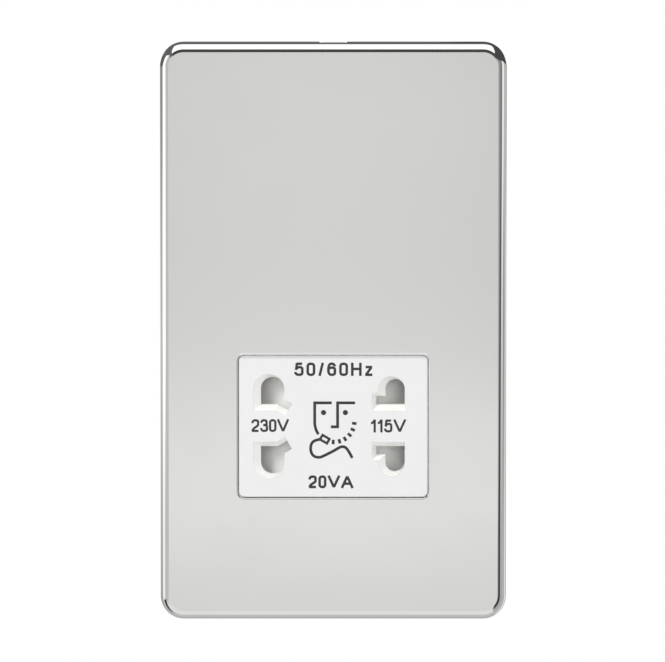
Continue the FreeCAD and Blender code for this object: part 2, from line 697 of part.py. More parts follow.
def shutter():
    """The slider: a plug in one pair of holes wedges it over, and it shuts the other pair."""
    foot_y = shutter_back_y - SHUTTER_FOOT_T
    corners = [
        (-ramp_foot_x, shutter_back_y), (-ramp_foot_x, foot_y), (-ramp_top_x, shutter_front_y),
        (ramp_top_x, shutter_front_y), (ramp_foot_x, foot_y), (ramp_foot_x, shutter_back_y),
    ]
    low = INSERT_Z - SHUTTER_ARM_HALF_H
    arms = polygon_solid([vec(x, y, low) for x, y in corners], vec(0, 0, 2 * SHUTTER_ARM_HALF_H))
    ridges = [e for e in edges_at_y(arms, shutter_front_y) if e.BoundBox.XLength < 1e-4]
    arms = arms.makeFillet(SHUTTER_EDGE_R, ridges)
    spring_slots, pegs, pockets = [], [], []
    half_slot = SHUTTER_SLOT_H / 2
    for side in (1, -1):
        x0, x1 = sorted((side * core_half_x, side * (ramp_foot_x + 1)))
        spring_slots.append(
            block(x0, x1, shutter_front_y - 1, shutter_back_y + 1, INSERT_Z - half_slot, INSERT_Z + half_slot)
        )
        x0, x1 = sorted((side * (core_half_x - SHUTTER_FOOT_T), side * (core_half_x + PEG_LEN)))
        pegs.append(rod_x(spring_y, INSERT_Z, PEG_R, x0, x1))
        middle = INSERT_Z + side * (half_slot + SHUTTER_ARM_HALF_H) / 2
        reach = (SHUTTER_ARM_HALF_H - half_slot) / 2 - SHUTTER_WALL
        pockets.append(
            slab(core_half_x - SHUTTER_WALL, reach, SHUTTER_EDGE_R, shutter_front_y + SHUTTER_WALL,
                 shutter_back_y + 1, z=middle)
        )
    core = block(
        -core_half_x, core_half_x, shutter_front_y, shutter_back_y,
        INSERT_Z - SHUTTER_HALF_H, INSERT_Z + SHUTTER_HALF_H,
    )
    body = fuse(cut(arms, spring_slots), [core] + pegs)
    return cut(body, pockets)


def shutter_spring(side):
    """A compression spring between the shutter's core and the carrier's side wall."""
    length = cavity_half_w - core_half_x - 2 * SPRING_WIRE_R
    pitch = length / SPRING_TURNS
    helix = Part.makeHelix(pitch, length, SPRING_R)
    corners = []
    for i in range(SPRING_WIRE_SIDES + 1):
        angle = 2 * math.pi * i / SPRING_WIRE_SIDES
        corners.append(vec(SPRING_R + SPRING_WIRE_R * math.cos(angle), 0, SPRING_WIRE_R * math.sin(angle)))
    spring = Part.Wire(helix).makePipeShell([Part.makePolygon(corners)], True, True)
    spring.rotate(vec(0, 0, 0), vec(0, 1, 0), 90)
    spring.translate(vec(core_half_x + SPRING_WIRE_R, spring_y, INSERT_Z))
    return spring if side > 0 else spring.mirror(vec(0, 0, 0), vec(1, 0, 0))


def contact_carrier():
    """The moulding behind the shutter, with a pocket for each pair of contact leaves."""
    body = slab(socket_half_w, socket_half_h, SOCKET_CORNER_R, 0, floor_back_y, z=INSERT_Z)
    body = cut(body, [slab(cavity_half_w, cavity_half_h, CAVITY_CORNER_R, -1, floor_front_y, z=INSERT_Z)])
    pocket_h = CONTACT_LEAF_W / 2 + POCKET_GAP
    tower_h = CONTACT_Z + pocket_h + POCKET_WALL
    added, removed = [], through_holes(floor_front_y - 1, floor_back_y + 1, POCKET_GAP)
    for x in (HOLE_230_X, HOLE_115_X):
        tower_w = POCKET_HALF_W + POCKET_WALL
        added.append(slab(tower_w, tower_h, POCKET_WALL, floor_back_y, CARRIER_DEPTH, x, INSERT_Z))
        for row in (1, -1):
            z = INSERT_Z + row * CONTACT_Z
            x0, x1 = x - POCKET_HALF_W, x + POCKET_HALF_W
            removed.append(block(x0, x1, floor_back_y, CARRIER_DEPTH + 1, z - pocket_h, z + pocket_h))
    web = POCKET_WALL / 2
    added.append(block(HOLE_230_X, HOLE_115_X, floor_back_y, CARRIER_DEPTH, INSERT_Z - web, INSERT_Z + web))
    for side in (1, -1):
        x0, x1 = sorted((side * (cavity_half_w - PEG_LEN), side * (cavity_half_w + SOCKET_WALL / 2)))
        added.append(rod_x(spring_y, INSERT_Z, PEG_R, x0, x1))
    return cut(fuse(body, added), removed)


def contact_leaves(x, row):
    """Two leaves of one bent strip, which grip a round pin or a flat blade."""
    base_y = CARRIER_DEPTH - CONTACT_T / 2
    depth = base_y - floor_back_y
    half = [
        (CONTACT_MOUTH, floor_back_y + POCKET_GAP + CONTACT_T),
        (CONTACT_PINCH, floor_back_y + CONTACT_PINCH_AT * depth),
        (CONTACT_BELLY, floor_back_y + CONTACT_BELLY_AT * depth),
        (CONTACT_BELLY, base_y),
    ]
    low = INSERT_Z + row * CONTACT_Z - CONTACT_LEAF_W / 2
    line = [vec(x - reach, y, low) for reach, y in half]
    line += [vec(x + reach, y, low) for reach, y in reversed(half)]
    return bent_strip(line, CONTACT_BEND_R, CONTACT_T, vec(0, 0, CONTACT_LEAF_W))


def contact_tail(x, row):
    z = INSERT_Z + row * CONTACT_Z
    half_t = CONTACT_T / 2
    return block(x - TAIL_W / 2, x + TAIL_W / 2, CARRIER_DEPTH, tail_end_y, z - half_t, z + half_t)


def contact(holes, row, tail_x):
    """Leaves at one hole or two, on one plate that rests on the carrier's back."""
    reach = POCKET_HALF_W + POCKET_WALL / 2
    z = INSERT_Z + row * CONTACT_Z
    plate = block(
        min(holes) - reach, max(holes) + reach, CARRIER_DEPTH, CARRIER_DEPTH + CONTACT_T,
        z - CONTACT_PLATE_H / 2, z + CONTACT_PLATE_H / 2,
    )
    return fuse(plate, [contact_leaves(x, row) for x in holes] + [contact_tail(tail_x, row)])


def core_e_stack():
    half = CORE_W / 2
    z0 = core_bottom_z
    stack = block(-half, half, core_front_y, core_rear_y, z0, core_top_z - CORE_LIMB)
    windows = []
    for side in (1, -1):
        x0, x1 = sorted((side * CORE_LIMB, side * (half - CORE_LIMB)))
        windows.append(block(x0, x1, core_front_y - 1, core_rear_y + 1, window_low_z, core_top_z))
    return cut(stack, windows)


def core_i_stack():
    half = CORE_W / 2
    return block(-half, half, core_front_y, core_rear_y, core_top_z - CORE_LIMB, core_top_z)


def core_clamp():
    """A sheet channel folded round the stack, with tabs below and a relief where they fold."""
    half = CORE_W / 2
    front, back = core_front_y - CLAMP_T, core_rear_y + CLAMP_T
    low, beside = core_bottom_z - CLAMP_T, half + CLAMP_T
    shell = block(-beside, beside, front, back, low, core_top_z + CLAMP_T)
    inner_x, tab_x = half - CLAMP_LIP, half - CLAMP_TAB
    removed = [
        block(-half, half, core_front_y, core_rear_y, core_bottom_z, core_top_z),
        block(-inner_x, inner_x, front - 1, back + 1, low - 1, core_top_z - CLAMP_LIP),
        block(-tab_x, tab_x, front - 1, back + 1, low - 1, core_bottom_z),
    ]
    for y0, y1 in ((front - 1, core_front_y), (core_rear_y, back + 1)):
        removed.append(block(-beside - 1, beside + 1, y0, y1, low - 1, core_bottom_z + CLAMP_T))
    return cut(shell, removed)


def bobbin():
    """A split former: a square tube with three flanges, one winding in each bay."""
    bore_x = CORE_LIMB + BOBBIN_FIT
    bore_y = CORE_STACK / 2 + BOBBIN_FIT
    low, high = window_low_z + BOBBIN_FIT, window_high_z - BOBBIN_FIT
    body = column(tube_half_x, tube_half_y, BOBBIN_WALL, low, high, core_y)
    flanges = []
    for z in (low, coil_middle_z - BOBBIN_FLANGE_T / 2, high - BOBBIN_FLANGE_T):
        flanges.append(column(flange_half_x, flange_half_y, WINDING_CORNER_R, z, z + BOBBIN_FLANGE_T, core_y))
    bore = block(-bore_x, bore_x, core_y - bore_y, core_y + bore_y, low - 1, high + 1)
    return cut(fuse(body, flanges), [bore])


def winding(z0, z1):
    """One solid ring in place of the turns of enamelled wire."""
    ring = column(wound_half_x, wound_half_y, WINDING_CORNER_R, z0, z1, core_y)
    bore = block(-tube_half_x, tube_half_x, core_y - tube_half_y, core_y + tube_half_y, z0 - 1, z1 + 1)
    return cut(ring, [bore])


def winding_tape():
    rings = []
    for z0, z1 in (secondary_span, primary_span):
        middle, half = (z0 + z1) / 2, TAPE_SHARE * (z1 - z0) / 2
        outer = column(
            wound_half_x + TAPE_T, wound_half_y + TAPE_T, WINDING_CORNER_R + TAPE_T,
            middle - half, middle + half, core_y,
        )
        inner = column(wound_half_x, wound_half_y, WINDING_CORNER_R, z0, z1, core_y)
        rings.append(cut(outer, [inner]))
    return Part.makeCompound(rings)


def thermal_cutout():
    x0 = wound_half_x + TAPE_T
    half = CUTOUT_W / 2
    y0, y1 = coil_lead_y - half, coil_lead_y + half
    body = block(x0, x0 + CUTOUT_T, y0, y1, cutout_low_z, cutout_low_z + CUTOUT_H)
    upright = [e for e in body.Edges if e.BoundBox.ZLength > 1 and e.BoundBox.XMin > x0 + 1]
    return body.makeFillet(CUTOUT_T / 4, upright)


def vents():
    """Slots in the back and sides of the housing, over the transformer."""
    slots = []
    low, high = core_bottom_z + VENT_END_GAP, core_top_z - VENT_END_GAP
    middle = (low + high) / 2
    for i in range(VENT_COUNT):
        x = (i - (VENT_COUNT - 1) / 2) * VENT_PITCH
        x0, x1 = x - VENT_W / 2, x + VENT_W / 2
        slots.append(block(x0, x1, bay_back_y - 1, housing_back_y + 1, low, high))
    front, back, outside = core_y - SIDE_VENT_LEN / 2, core_y + SIDE_VENT_LEN / 2, housing_half_w + 1
    for i in range(SIDE_VENT_COUNT):
        z = middle + (i - (SIDE_VENT_COUNT - 1) / 2) * SIDE_VENT_PITCH
        slots.append(block(-outside, outside, front, back, z - VENT_W / 2, z + VENT_W / 2))
    return slots


def housing_ribs():
    ribs = []
    shelf_low, shelf_high = shelf_z - RIB_T / 2, shelf_z + RIB_T / 2
    for side in (1, -1):
        x0, x1 = sorted((side * (socket_half_w - RIB_W), side * (bay_half_w + HOUSING_WALL / 2)))
        for z in (INSERT_Z - socket_half_h / 2, INSERT_Z + socket_half_h / 2):
            ribs.append(block(x0, x1, floor_back_y, bay_back_y + 1, z - RIB_T / 2, z + RIB_T / 2))
        x0, x1 = sorted((side * (post_x - POST_R / 2), side * (bay_half_w + HOUSING_WALL / 2)))
        ribs.append(block(x0, x1, block_front_y, bay_back_y + 1, shelf_low, shelf_high))
        for z in (post_low_z, post_high_z):
            ribs.append(rod_y(side * post_x, z, POST_R, core_rear_y + CLAMP_T, bay_back_y + 1))
    ribs.append(block(-CORE_LIMB, CORE_LIMB, block_front_y, bay_back_y + 1, shelf_low, shelf_high))
    return ribs


def rear_housing():
    """The moulded tub in the wall box, with ears, posts, vents and the terminal windows."""
    middle, half_h = (bay_top_z + bay_bottom_z) / 2, (bay_top_z - bay_bottom_z) / 2
    outer = slab(housing_half_w, half_h + HOUSING_WALL, HOUSING_CORNER_R, 0, housing_back_y, z=middle)
    outer = round_at_y(outer, housing_back_y, HOUSING_BACK_R)
    inner = slab(bay_half_w, half_h, HOUSING_CORNER_R - HOUSING_WALL, -1, bay_back_y, z=middle)
    ears = []
    for x in (EAR_X, -EAR_X):
        for z, wall_z in ((ear_high_z, bay_top_z), (ear_low_z, bay_bottom_z)):
            ears.append(rod_y(x, z, EAR_R, 0, EAR_T))
            low, high = sorted((z, wall_z + math.copysign(HOUSING_WALL / 2, z)))
            ears.append(block(x - EAR_R, x + EAR_R, 0, EAR_T, low, high))
    body = cut(fuse(outer, ears), [inner])
    body = fuse(body, housing_ribs())
    removed = vents()
    for x in (EAR_X, -EAR_X):
        for z in (ear_high_z, ear_low_z):
            removed.append(rod_y(x, z, SCREW_R + 2 * THREAD_GAP, -1, EAR_T + 1))
    for x in terminal_xs:
        removed.append(rod_z(x, wire_y, WIRE_ENTRY_R, bay_bottom_z - HOUSING_WALL - 1, bay_bottom_z + 1))
        removed.append(rod_y(x, terminal_z, TERMINAL_HEAD_R + DRIVER_GAP, bay_back_y - 1, housing_back_y + 1))
    return cut(body, removed)


def terminal_block():
    half = TERMINAL_PITCH + TERMINAL_W / 2 + TERMINAL_GAP + BLOCK_END
    body = block(-half, half, block_front_y, bay_back_y, bay_bottom_z, terminal_high_z + BLOCK_ABOVE)
    removed = []
    for x in terminal_xs:
        reach, roof_z = TERMINAL_W / 2 + TERMINAL_GAP, terminal_high_z + TERMINAL_GAP
        removed.append(block(x - reach, x + reach, block_front_y - 1, terminal_back_y, terminal_low_z, roof_z))
        removed.append(rod_z(x, wire_y, WIRE_ENTRY_R, bay_bottom_z - 1, terminal_low_z + 1))
        removed.append(rod_y(x, terminal_z, TERMINAL_HEAD_R + DRIVER_GAP, terminal_back_y - 1, bay_back_y + 1))
    for x in (-TERMINAL_PITCH / 2, TERMINAL_PITCH / 2):
        half_slot = BLOCK_SLOT_W / 2
        removed.append(block(x - half_slot, x + half_slot, block_front_y - 1, terminal_front_y,
                             terminal_low_z, terminal_high_z + BLOCK_ABOVE + 1))
    return cut(body, removed)


def terminal(x, tagged):
    """A brass pillar with a wire bore from below and a screw from the back."""
    half = TERMINAL_W / 2
    body = block(x - half, x + half, terminal_front_y, terminal_back_y, terminal_low_z, terminal_high_z)
    body = body.makeFillet(TERMINAL_W / 12, [e for e in body.Edges if e.BoundBox.ZLength > 1])
    if tagged:
        tag = block(x - TAG_W / 2, x + TAG_W / 2, terminal_front_y - TAG_LEN, terminal_front_y + 1,
                    tag_z - TAG_T / 2, tag_z + TAG_T / 2)
        body = fuse(body, [tag])
    return cut(body, [
        rod_z(x, wire_y, WIRE_BORE_R, terminal_low_z - 1, terminal_high_z - TERMINAL_ROOF),
        rod_y(x, terminal_z, TERMINAL_SCREW_R + THREAD_GAP, wire_y, terminal_back_y + 1),
    ])


def slotted_screw(x):
    head_y = terminal_back_y + TERMINAL_HEAD_T
    shank = rod_y(x, terminal_z, TERMINAL_SCREW_R, wire_y + WIRE_BORE_R + THREAD_GAP, terminal_back_y)
    head = rod_y(x, terminal_z, TERMINAL_HEAD_R, terminal_back_y, head_y)
    half = SCREW_SLOT_W / 2
    slot = block(x - TERMINAL_HEAD_R, x + TERMINAL_HEAD_R, head_y - SCREW_SLOT_DEPTH, head_y + 1,
                 terminal_z - half, terminal_z + half)
    return cut(fuse(shank, [head]), [slot])


def housing_screw(x, z):
    """Self-tapping screw with a pan head and a cross recess."""
    head_y = EAR_T + SCREW_HEAD_T
    shank = rod_y(x, z, SCREW_R, EAR_T - SCREW_LEN, EAR_T)
    head = rod_y(x, z, SCREW_HEAD_R, EAR_T, head_y)
    head = head.makeChamfer(SCREW_HEAD_T / 3, edges_at_y(head, head_y))
    half, reach = SCREW_SLOT_W / 2, SCREW_HEAD_R / 2
    cross = [
        block(x - half, x + half, head_y - SCREW_SLOT_DEPTH, head_y + 1, z - reach, z + reach),
        block(x - reach, x + reach, head_y - SCREW_SLOT_DEPTH, head_y + 1, z - half, z + half),
    ]
    return cut(fuse(shank, [head]), cross)


def earth_strap():
    """Strip from the earth terminal, under the socket, to a finger on the metal plate."""
    start_y = terminal_front_y - STRAP_T / 2
    touch_y = plate_back_y + STRAP_CONTACT_GAP + STRAP_T / 2
    line = [
        (start_y, terminal_z), (start_y, strap_z), (-FRAME_BASE_T - STRAP_T, strap_z),
        (touch_y, strap_z - STRAP_SLOPE * STRAP_FINGER), (touch_y, strap_z - 2 * STRAP_SLOPE * STRAP_FINGER),
        (touch_y + STRAP_SLOPE * STRAP_FINGER, strap_z - STRAP_FINGER),
    ]
    points = [vec(-STRAP_W / 2, y, z) for y, z in line]
    return bent_strip(points, STRAP_BEND_R, STRAP_T, vec(STRAP_W, 0, 0))


def coil_start(side, y, z):
    """The first two points of a lead: out of the coil's side, clear of the flanges."""
    x = side * (wound_half_x + TAPE_T)
    return [vec(x, y, z), vec(x + side * LEAD_OUT, y, z)]


def secondary_lead(side, y, z, tail_x, row, drops):
    """From the secondary, down past the core, to a contact's tail behind the carrier."""
    start = coil_start(side, y, z)
    x = start[1].x
    tail_top = INSERT_Z + row * CONTACT_Z + CONTACT_T / 2
    behind_y = tail_end_y - TAIL_LEN / 2
    cross_x = (x + tail_x) / 2 if row < 0 else x * SECONDARY_LOW_SHARE
    cross_y = behind_y + LEAD_R if row < 0 else behind_y
    return lead(start + [
        vec(x, y, core_bottom_z - CORE_ABOVE_SOCKET * SECONDARY_LOW_SHARE),
        vec(cross_x, cross_y, tail_top + drops[1]),
        vec(tail_x, behind_y, tail_top + drops[0]),
        vec(tail_x, behind_y, tail_top),
    ])


def mains_end(x, from_x):
    """The last three points of a mains lead, down behind the core to a terminal's tag."""
    return [
        vec(from_x, coil_lead_y, tag_z + MAINS_LEVEL_UP),
        vec(x, tag_lead_y, tag_z + MAINS_DROP),
        vec(x, tag_lead_y, tag_z + TAG_T / 2),
    ]


def leads():
    live_start = coil_start(-1, coil_lead_y, coil_middle_z + LIVE_START_UP)
    cutout_x = wound_half_x + TAPE_T + CUTOUT_T / 2
    cutout_top_z = cutout_low_z + CUTOUT_H
    join_z = cutout_top_z + CUTOUT_T / 2
    cutout_points = [
        vec(wound_half_x + TAPE_T, coil_lead_y, join_z), vec(cutout_x, coil_lead_y, join_z),
        vec(cutout_x, coil_lead_y, cutout_top_z),
    ]
    neutral_start = [vec(cutout_x, coil_lead_y, cutout_low_z)]
    front_y = core_front_y - CLAMP_T - LEAD_R
    common_z, low_230_z, low_115_z = (coil_middle_z - down for down in SECONDARY_START_DOWN)
    return {
        "lead_live": lead(live_start + mains_end(-TERMINAL_PITCH, live_start[1].x)),
        "lead_neutral": lead(neutral_start + mains_end(TERMINAL_PITCH, cutout_x)),
        "lead_cutout": lead(cutout_points),
        "lead_common": secondary_lead(-1, front_y - COMMON_AHEAD, common_z, 0.0, 1, COMMON_DROPS),
        "lead_230v": secondary_lead(-1, front_y, low_230_z, HOLE_230_X, -1, TAPPING_DROPS),
        "lead_115v": secondary_lead(1, front_y, low_115_z, HOLE_115_X, -1, TAPPING_DROPS),
    }


def nodes():
    screws = [housing_screw(x, z) for x in (EAR_X, -EAR_X) for z in (ear_high_z, ear_low_z)]
    made = {
        "cover_plate": cover_plate(),
        "clip_frame": clip_frame(),
        "mounting_frame": mounting_frame(),
        "socket_insert": socket_insert(),
        "shutter": shutter(),
        "shutter_spring_left": shutter_spring(-1),
        "shutter_spring_right": shutter_spring(1),
        "contact_carrier": contact_carrier(),
        "contact_common": contact((HOLE_230_X, HOLE_115_X), 1, 0.0),
        "contact_230v": contact((HOLE_230_X,), -1, HOLE_230_X),
        "contact_115v": contact((HOLE_115_X,), -1, HOLE_115_X),
        "core_e_stack": core_e_stack(),
        "core_i_stack": core_i_stack(),
        "core_clamp": core_clamp(),
        "bobbin": bobbin(),
        "secondary_winding": winding(*secondary_span),
        "primary_winding": winding(*primary_span),
        "winding_tape": winding_tape(),
        "thermal_cutout": thermal_cutout(),
        "rear_housing": rear_housing(),
        "terminal_block": terminal_block(),
        "terminal_live": terminal(terminal_xs[0], True),
        "terminal_earth": terminal(terminal_xs[1], False),
        "terminal_neutral": terminal(terminal_xs[2], True),
        "terminal_screws": Part.makeCompound([slotted_screw(x) for x in terminal_xs]),
        "housing_screws": Part.makeCompound(screws),
        "earth_strap": earth_strap(),
    }
    made.update(leads())
    return made


def main():
    os.makedirs("parts", exist_ok=True)
    for name, shape in nodes().items():
        if not shape.isValid():
            raise ValueError(name + " is not a valid shape")
        shape.exportStep("parts/" + name + ".step")
        print(name, "solids", len(shape.Solids), "volume", round(shape.Volume, 1))


if __name__ == "__main__":
    main()
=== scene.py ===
import math

import bmesh
import bpy
from mathutils import Matrix, Vector


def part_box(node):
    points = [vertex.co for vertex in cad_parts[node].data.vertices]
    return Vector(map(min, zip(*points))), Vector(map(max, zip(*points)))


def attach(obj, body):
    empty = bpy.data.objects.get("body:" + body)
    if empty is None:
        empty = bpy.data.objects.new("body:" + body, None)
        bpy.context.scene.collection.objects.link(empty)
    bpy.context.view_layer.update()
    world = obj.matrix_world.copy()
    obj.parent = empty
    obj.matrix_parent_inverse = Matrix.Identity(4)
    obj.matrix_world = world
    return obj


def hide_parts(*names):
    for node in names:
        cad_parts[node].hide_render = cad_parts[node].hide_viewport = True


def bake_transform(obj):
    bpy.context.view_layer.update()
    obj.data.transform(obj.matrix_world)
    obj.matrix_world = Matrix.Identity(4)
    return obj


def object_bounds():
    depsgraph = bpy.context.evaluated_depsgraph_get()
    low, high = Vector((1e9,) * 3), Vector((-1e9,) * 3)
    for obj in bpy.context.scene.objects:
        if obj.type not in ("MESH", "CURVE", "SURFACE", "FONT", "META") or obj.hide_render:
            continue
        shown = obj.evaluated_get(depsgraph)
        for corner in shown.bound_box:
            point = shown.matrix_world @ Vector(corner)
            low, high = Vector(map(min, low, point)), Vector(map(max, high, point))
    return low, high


bl_info = {
    "name": "Shaver socket",
    "version": (1, 0, 0),
    "blender": (4, 5, 0),
    "location": "3D View > Sidebar > Shaver socket",
    "description": "Finishes, springs, windings, print and studio for the packed shaver socket",
    "category": "Object",
}

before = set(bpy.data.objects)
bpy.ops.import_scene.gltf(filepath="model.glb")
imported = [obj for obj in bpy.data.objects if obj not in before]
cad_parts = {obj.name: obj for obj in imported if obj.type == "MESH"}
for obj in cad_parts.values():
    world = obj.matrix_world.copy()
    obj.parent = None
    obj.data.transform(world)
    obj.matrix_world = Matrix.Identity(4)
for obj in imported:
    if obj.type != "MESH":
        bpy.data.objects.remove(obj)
cad_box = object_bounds()

# Metres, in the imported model's frame: X is width, Y is depth, Z is up, the front looks along -Y.
MM = 0.001

# The plate's window: the heights of its top and bottom edges and half its width.
WINDOW_TOP = -5.78 * MM
WINDOW_FOOT = -42.43 * MM
WINDOW_HALF = 24.3 * MM

# The print is placed by the photograph's pixels: the pixel that X = Z = 0 falls on, and the size
# of a pixel across, down, and for the width of strokes and spots.
ORIGIN_PX, ORIGIN_PY = 333.3, 332.3
PIXEL_ACROSS = 0.2543 * MM
PIXEL_DOWN = 0.2553 * MM
PIXEL = 0.2545 * MM

# The studio: the key lamp's place and width, the point in the face's plane that the camera looks
# at, half the floor's side, and the distances from the object between which it fades to white.
KEY_PLACE = (-0.92, -1.6, 1.1)
KEY_WIDTH = 0.6
AIM_X, AIM_Z = -0.2 * MM, 0.33 * MM
FLOOR_HALF = 12.0
FLOOR_FADE = (0.14, 0.34)

WHITE = (1.0, 1.0, 1.0, 1.0)
BLACK = (0.0, 0.0, 0.0, 1.0)

FINISHED_NODES = {
    "chrome": ("cover_plate",),
    "white_moulding": ("socket_insert", "shutter"),
    "frame_moulding": ("clip_frame", "mounting_frame"),
    "housing_moulding": ("rear_housing", "terminal_block"),
    "carrier_moulding": ("contact_carrier",),
    "contact_bronze": ("contact_common", "contact_230v", "contact_115v"),
    "terminal_brass": ("terminal_live", "terminal_earth", "terminal_neutral", "earth_strap"),
    "core_steel": ("core_e_stack", "core_i_stack"),
    "clamp_steel": ("core_clamp",),
    "bobbin_moulding": ("bobbin",),
    "winding_copper": ("primary_winding", "secondary_winding"),
    "coil_tape": ("winding_tape",),
    "cutout_case": ("thermal_cutout",),
    "screw_steel": ("terminal_screws", "housing_screws"),
    "lead_brown": ("lead_live",),
    "lead_blue": ("lead_neutral", "lead_cutout"),
    "lead_red": ("lead_230v", "lead_115v"),
    "lead_white": ("lead_common",),
}

# The materials by name, filled as they are made.
FINISHES = {}


class Value:
    """A number in a node tree; Python's operators add Math nodes to it."""

    def __init__(self, nodes, socket):
        self.nodes, self.socket = nodes, socket

    def math(self, operation, *others):
        inputs = dict(enumerate((self, *others)))
        made = self.nodes.add("ShaderNodeMath", {"operation": operation}, inputs)
        return Value(self.nodes, made.outputs[0])

    def __add__(self, other):
        return self.math("ADD", other)

    def __sub__(self, other):
        return self.math("SUBTRACT", other)

    def __rsub__(self, other):
        return self.math("MULTIPLY", -1.0).math("ADD", other)

    def __mul__(self, other):
        return self.math("MULTIPLY", other)

    def __gt__(self, other):
        return self.math("GREATER_THAN", other)

    def __lt__(self, other):
        return self.math("LESS_THAN", other)

    __radd__, __rmul__ = __add__, __mul__


class Nodes:
    """A shader's node tree, filled by calls."""

    def __init__(self, tree, place):
        self.tree = tree
        tree.nodes.clear()
        self.place = self.add("ShaderNodeTexCoord").outputs[place]

    def add(self, kind, settings=(), values=()):
        """One node: its settings first, then the values or links of its sockets."""
        made = self.tree.nodes.new(kind)
        for name, setting in dict(settings).items():
            if name == "stops":
                self.fill_ramp(made.color_ramp, setting)
            else:
                setattr(made, name, setting)
        for key, value in dict(values).items():
            if isinstance(value, Value):
                value = value.socket
            if isinstance(value, bpy.types.NodeSocket):
                self.tree.links.new(value, made.inputs[key])
            else:
                made.inputs[key].default_value = value
        return made

    def fill_ramp(self, ramp, stops):
        while len(ramp.elements) < len(stops):
            ramp.elements.new(1.0)
        for element, (position, level) in zip(ramp.elements, stops):
            element.position = position
            element.color = (level, level, level, 1.0)

    def ramp(self, value, stops):
        """A number read off a line of (value, level) stops."""
        low, high = stops[0][0], stops[-1][0]
        scaled = [((at - low) / (high - low), level) for at, level in stops]
        share = (value - low) * (1 / (high - low))
        made = self.add("ShaderNodeValToRGB", {"stops": scaled}, {0: share})
        return Value(self, made.outputs[0])

    def step(self, value, start, end):
        """0 before start, 1 after end and smooth between them."""
        smooth = {"interpolation_type": "SMOOTHSTEP"}
        made = self.add("ShaderNodeMapRange", smooth, {0: value, 1: start, 2: end})
        return Value(self, made.outputs[0])

    def blend(self, share, first, second):
        """A number between two others."""
        made = self.add("ShaderNodeMix", {"data_type": "FLOAT"}, {0: share, 2: first, 3: second})
        return Value(self, made.outputs[0])

    def cards(self, value, level, following):
        """A level that gives way, along a value, to each following (start, end, level) in turn."""
        for start, end, next_level in following:
            level = self.blend(self.step(value, start, end), level, next_level)
        return level

    def colours(self, share, first, second):
        """A colour between two others."""
        made = self.add("ShaderNodeMix", {"data_type": "RGBA"}, {0: share, 6: first, 7: second})
        return made.outputs[2]

    def axes(self, vector):
        made = self.add("ShaderNodeSeparateXYZ", (), {0: vector})
        return [Value(self, output) for output in made.outputs]

    def stretched(self, x, y, z):
        """Object coordinates multiplied along each axis."""
        made = self.add("ShaderNodeMapping", (), {"Vector": self.place, "Scale": (x, y, z)})
        return made.outputs[0]

    def noise(self, scale, detail, place=None):
        values = {"Vector": place or self.place, "Scale": scale, "Detail": detail}
        return Value(self, self.add("ShaderNodeTexNoise", (), values).outputs[0])

    def cells(self, scale):
        values = {"Vector": self.place, "Scale": scale}
        return Value(self, self.add("ShaderNodeTexVoronoi", (), values).outputs[0])

    def bump(self, height, depth):
        values = {"Strength": 1.0, "Distance": depth, "Height": height}
        return self.add("ShaderNodeBump", (), values).outputs[0]


def colour(r, g, b):
    return (r, g, b, 1.0)


def darker(rgba, share):
    return tuple(c * share for c in rgba[:3]) + (1.0,)


def material(name):
    """The emptied node tree of a new material, which FINISHES keeps."""
    made = bpy.data.materials.new("finish_" + name)
    made.use_nodes = True
    FINISHES[name] = made
    return Nodes(made.node_tree, "Object")


def finish_surface(nodes, values):
    shader = nodes.add("ShaderNodeBsdfPrincipled", (), values)
    nodes.add("ShaderNodeOutputMaterial", (), {"Surface": shader.outputs[0]})


def polished_metal(name, tint, roughness):
    """Bright plating: a slight waviness of the pressed sheet, faint smears, and a painted
    highlight.

    The painted highlight is a white band in the base colour over the window, where the plate's
    rolled edge would catch the light.
    """
    nodes = material(name)
    smears = nodes.noise(55.0, 4.0)
    waves = nodes.noise(24.0, 1.0)
    x, _, z = nodes.axes(nodes.place)
    above = z - WINDOW_TOP
    # Painted highlight: the base colour goes white in a thin band just over the window's top edge.
    painted_lip_highlight_and_shade = nodes.step(above, -0.1 * MM, 0.05 * MM) * (1 - nodes.step(above, 0.4 * MM, 0.6 * MM))
    painted_lip_highlight_and_shade = painted_lip_highlight_and_shade * (1 - nodes.step(x.math("ABSOLUTE") - WINDOW_HALF, -0.9 * MM, 0.0))
    plain = nodes.colours(smears * 0.5, tint, darker(tint, 0.98))
    finish_surface(nodes, {
        "Base Color": nodes.colours(painted_lip_highlight_and_shade, plain, WHITE),
        "Metallic": 1.0,
        "Roughness": roughness + nodes.step(smears, 0.45, 0.8) * 0.03,
        "Normal": nodes.bump(waves, 6e-6),
    })


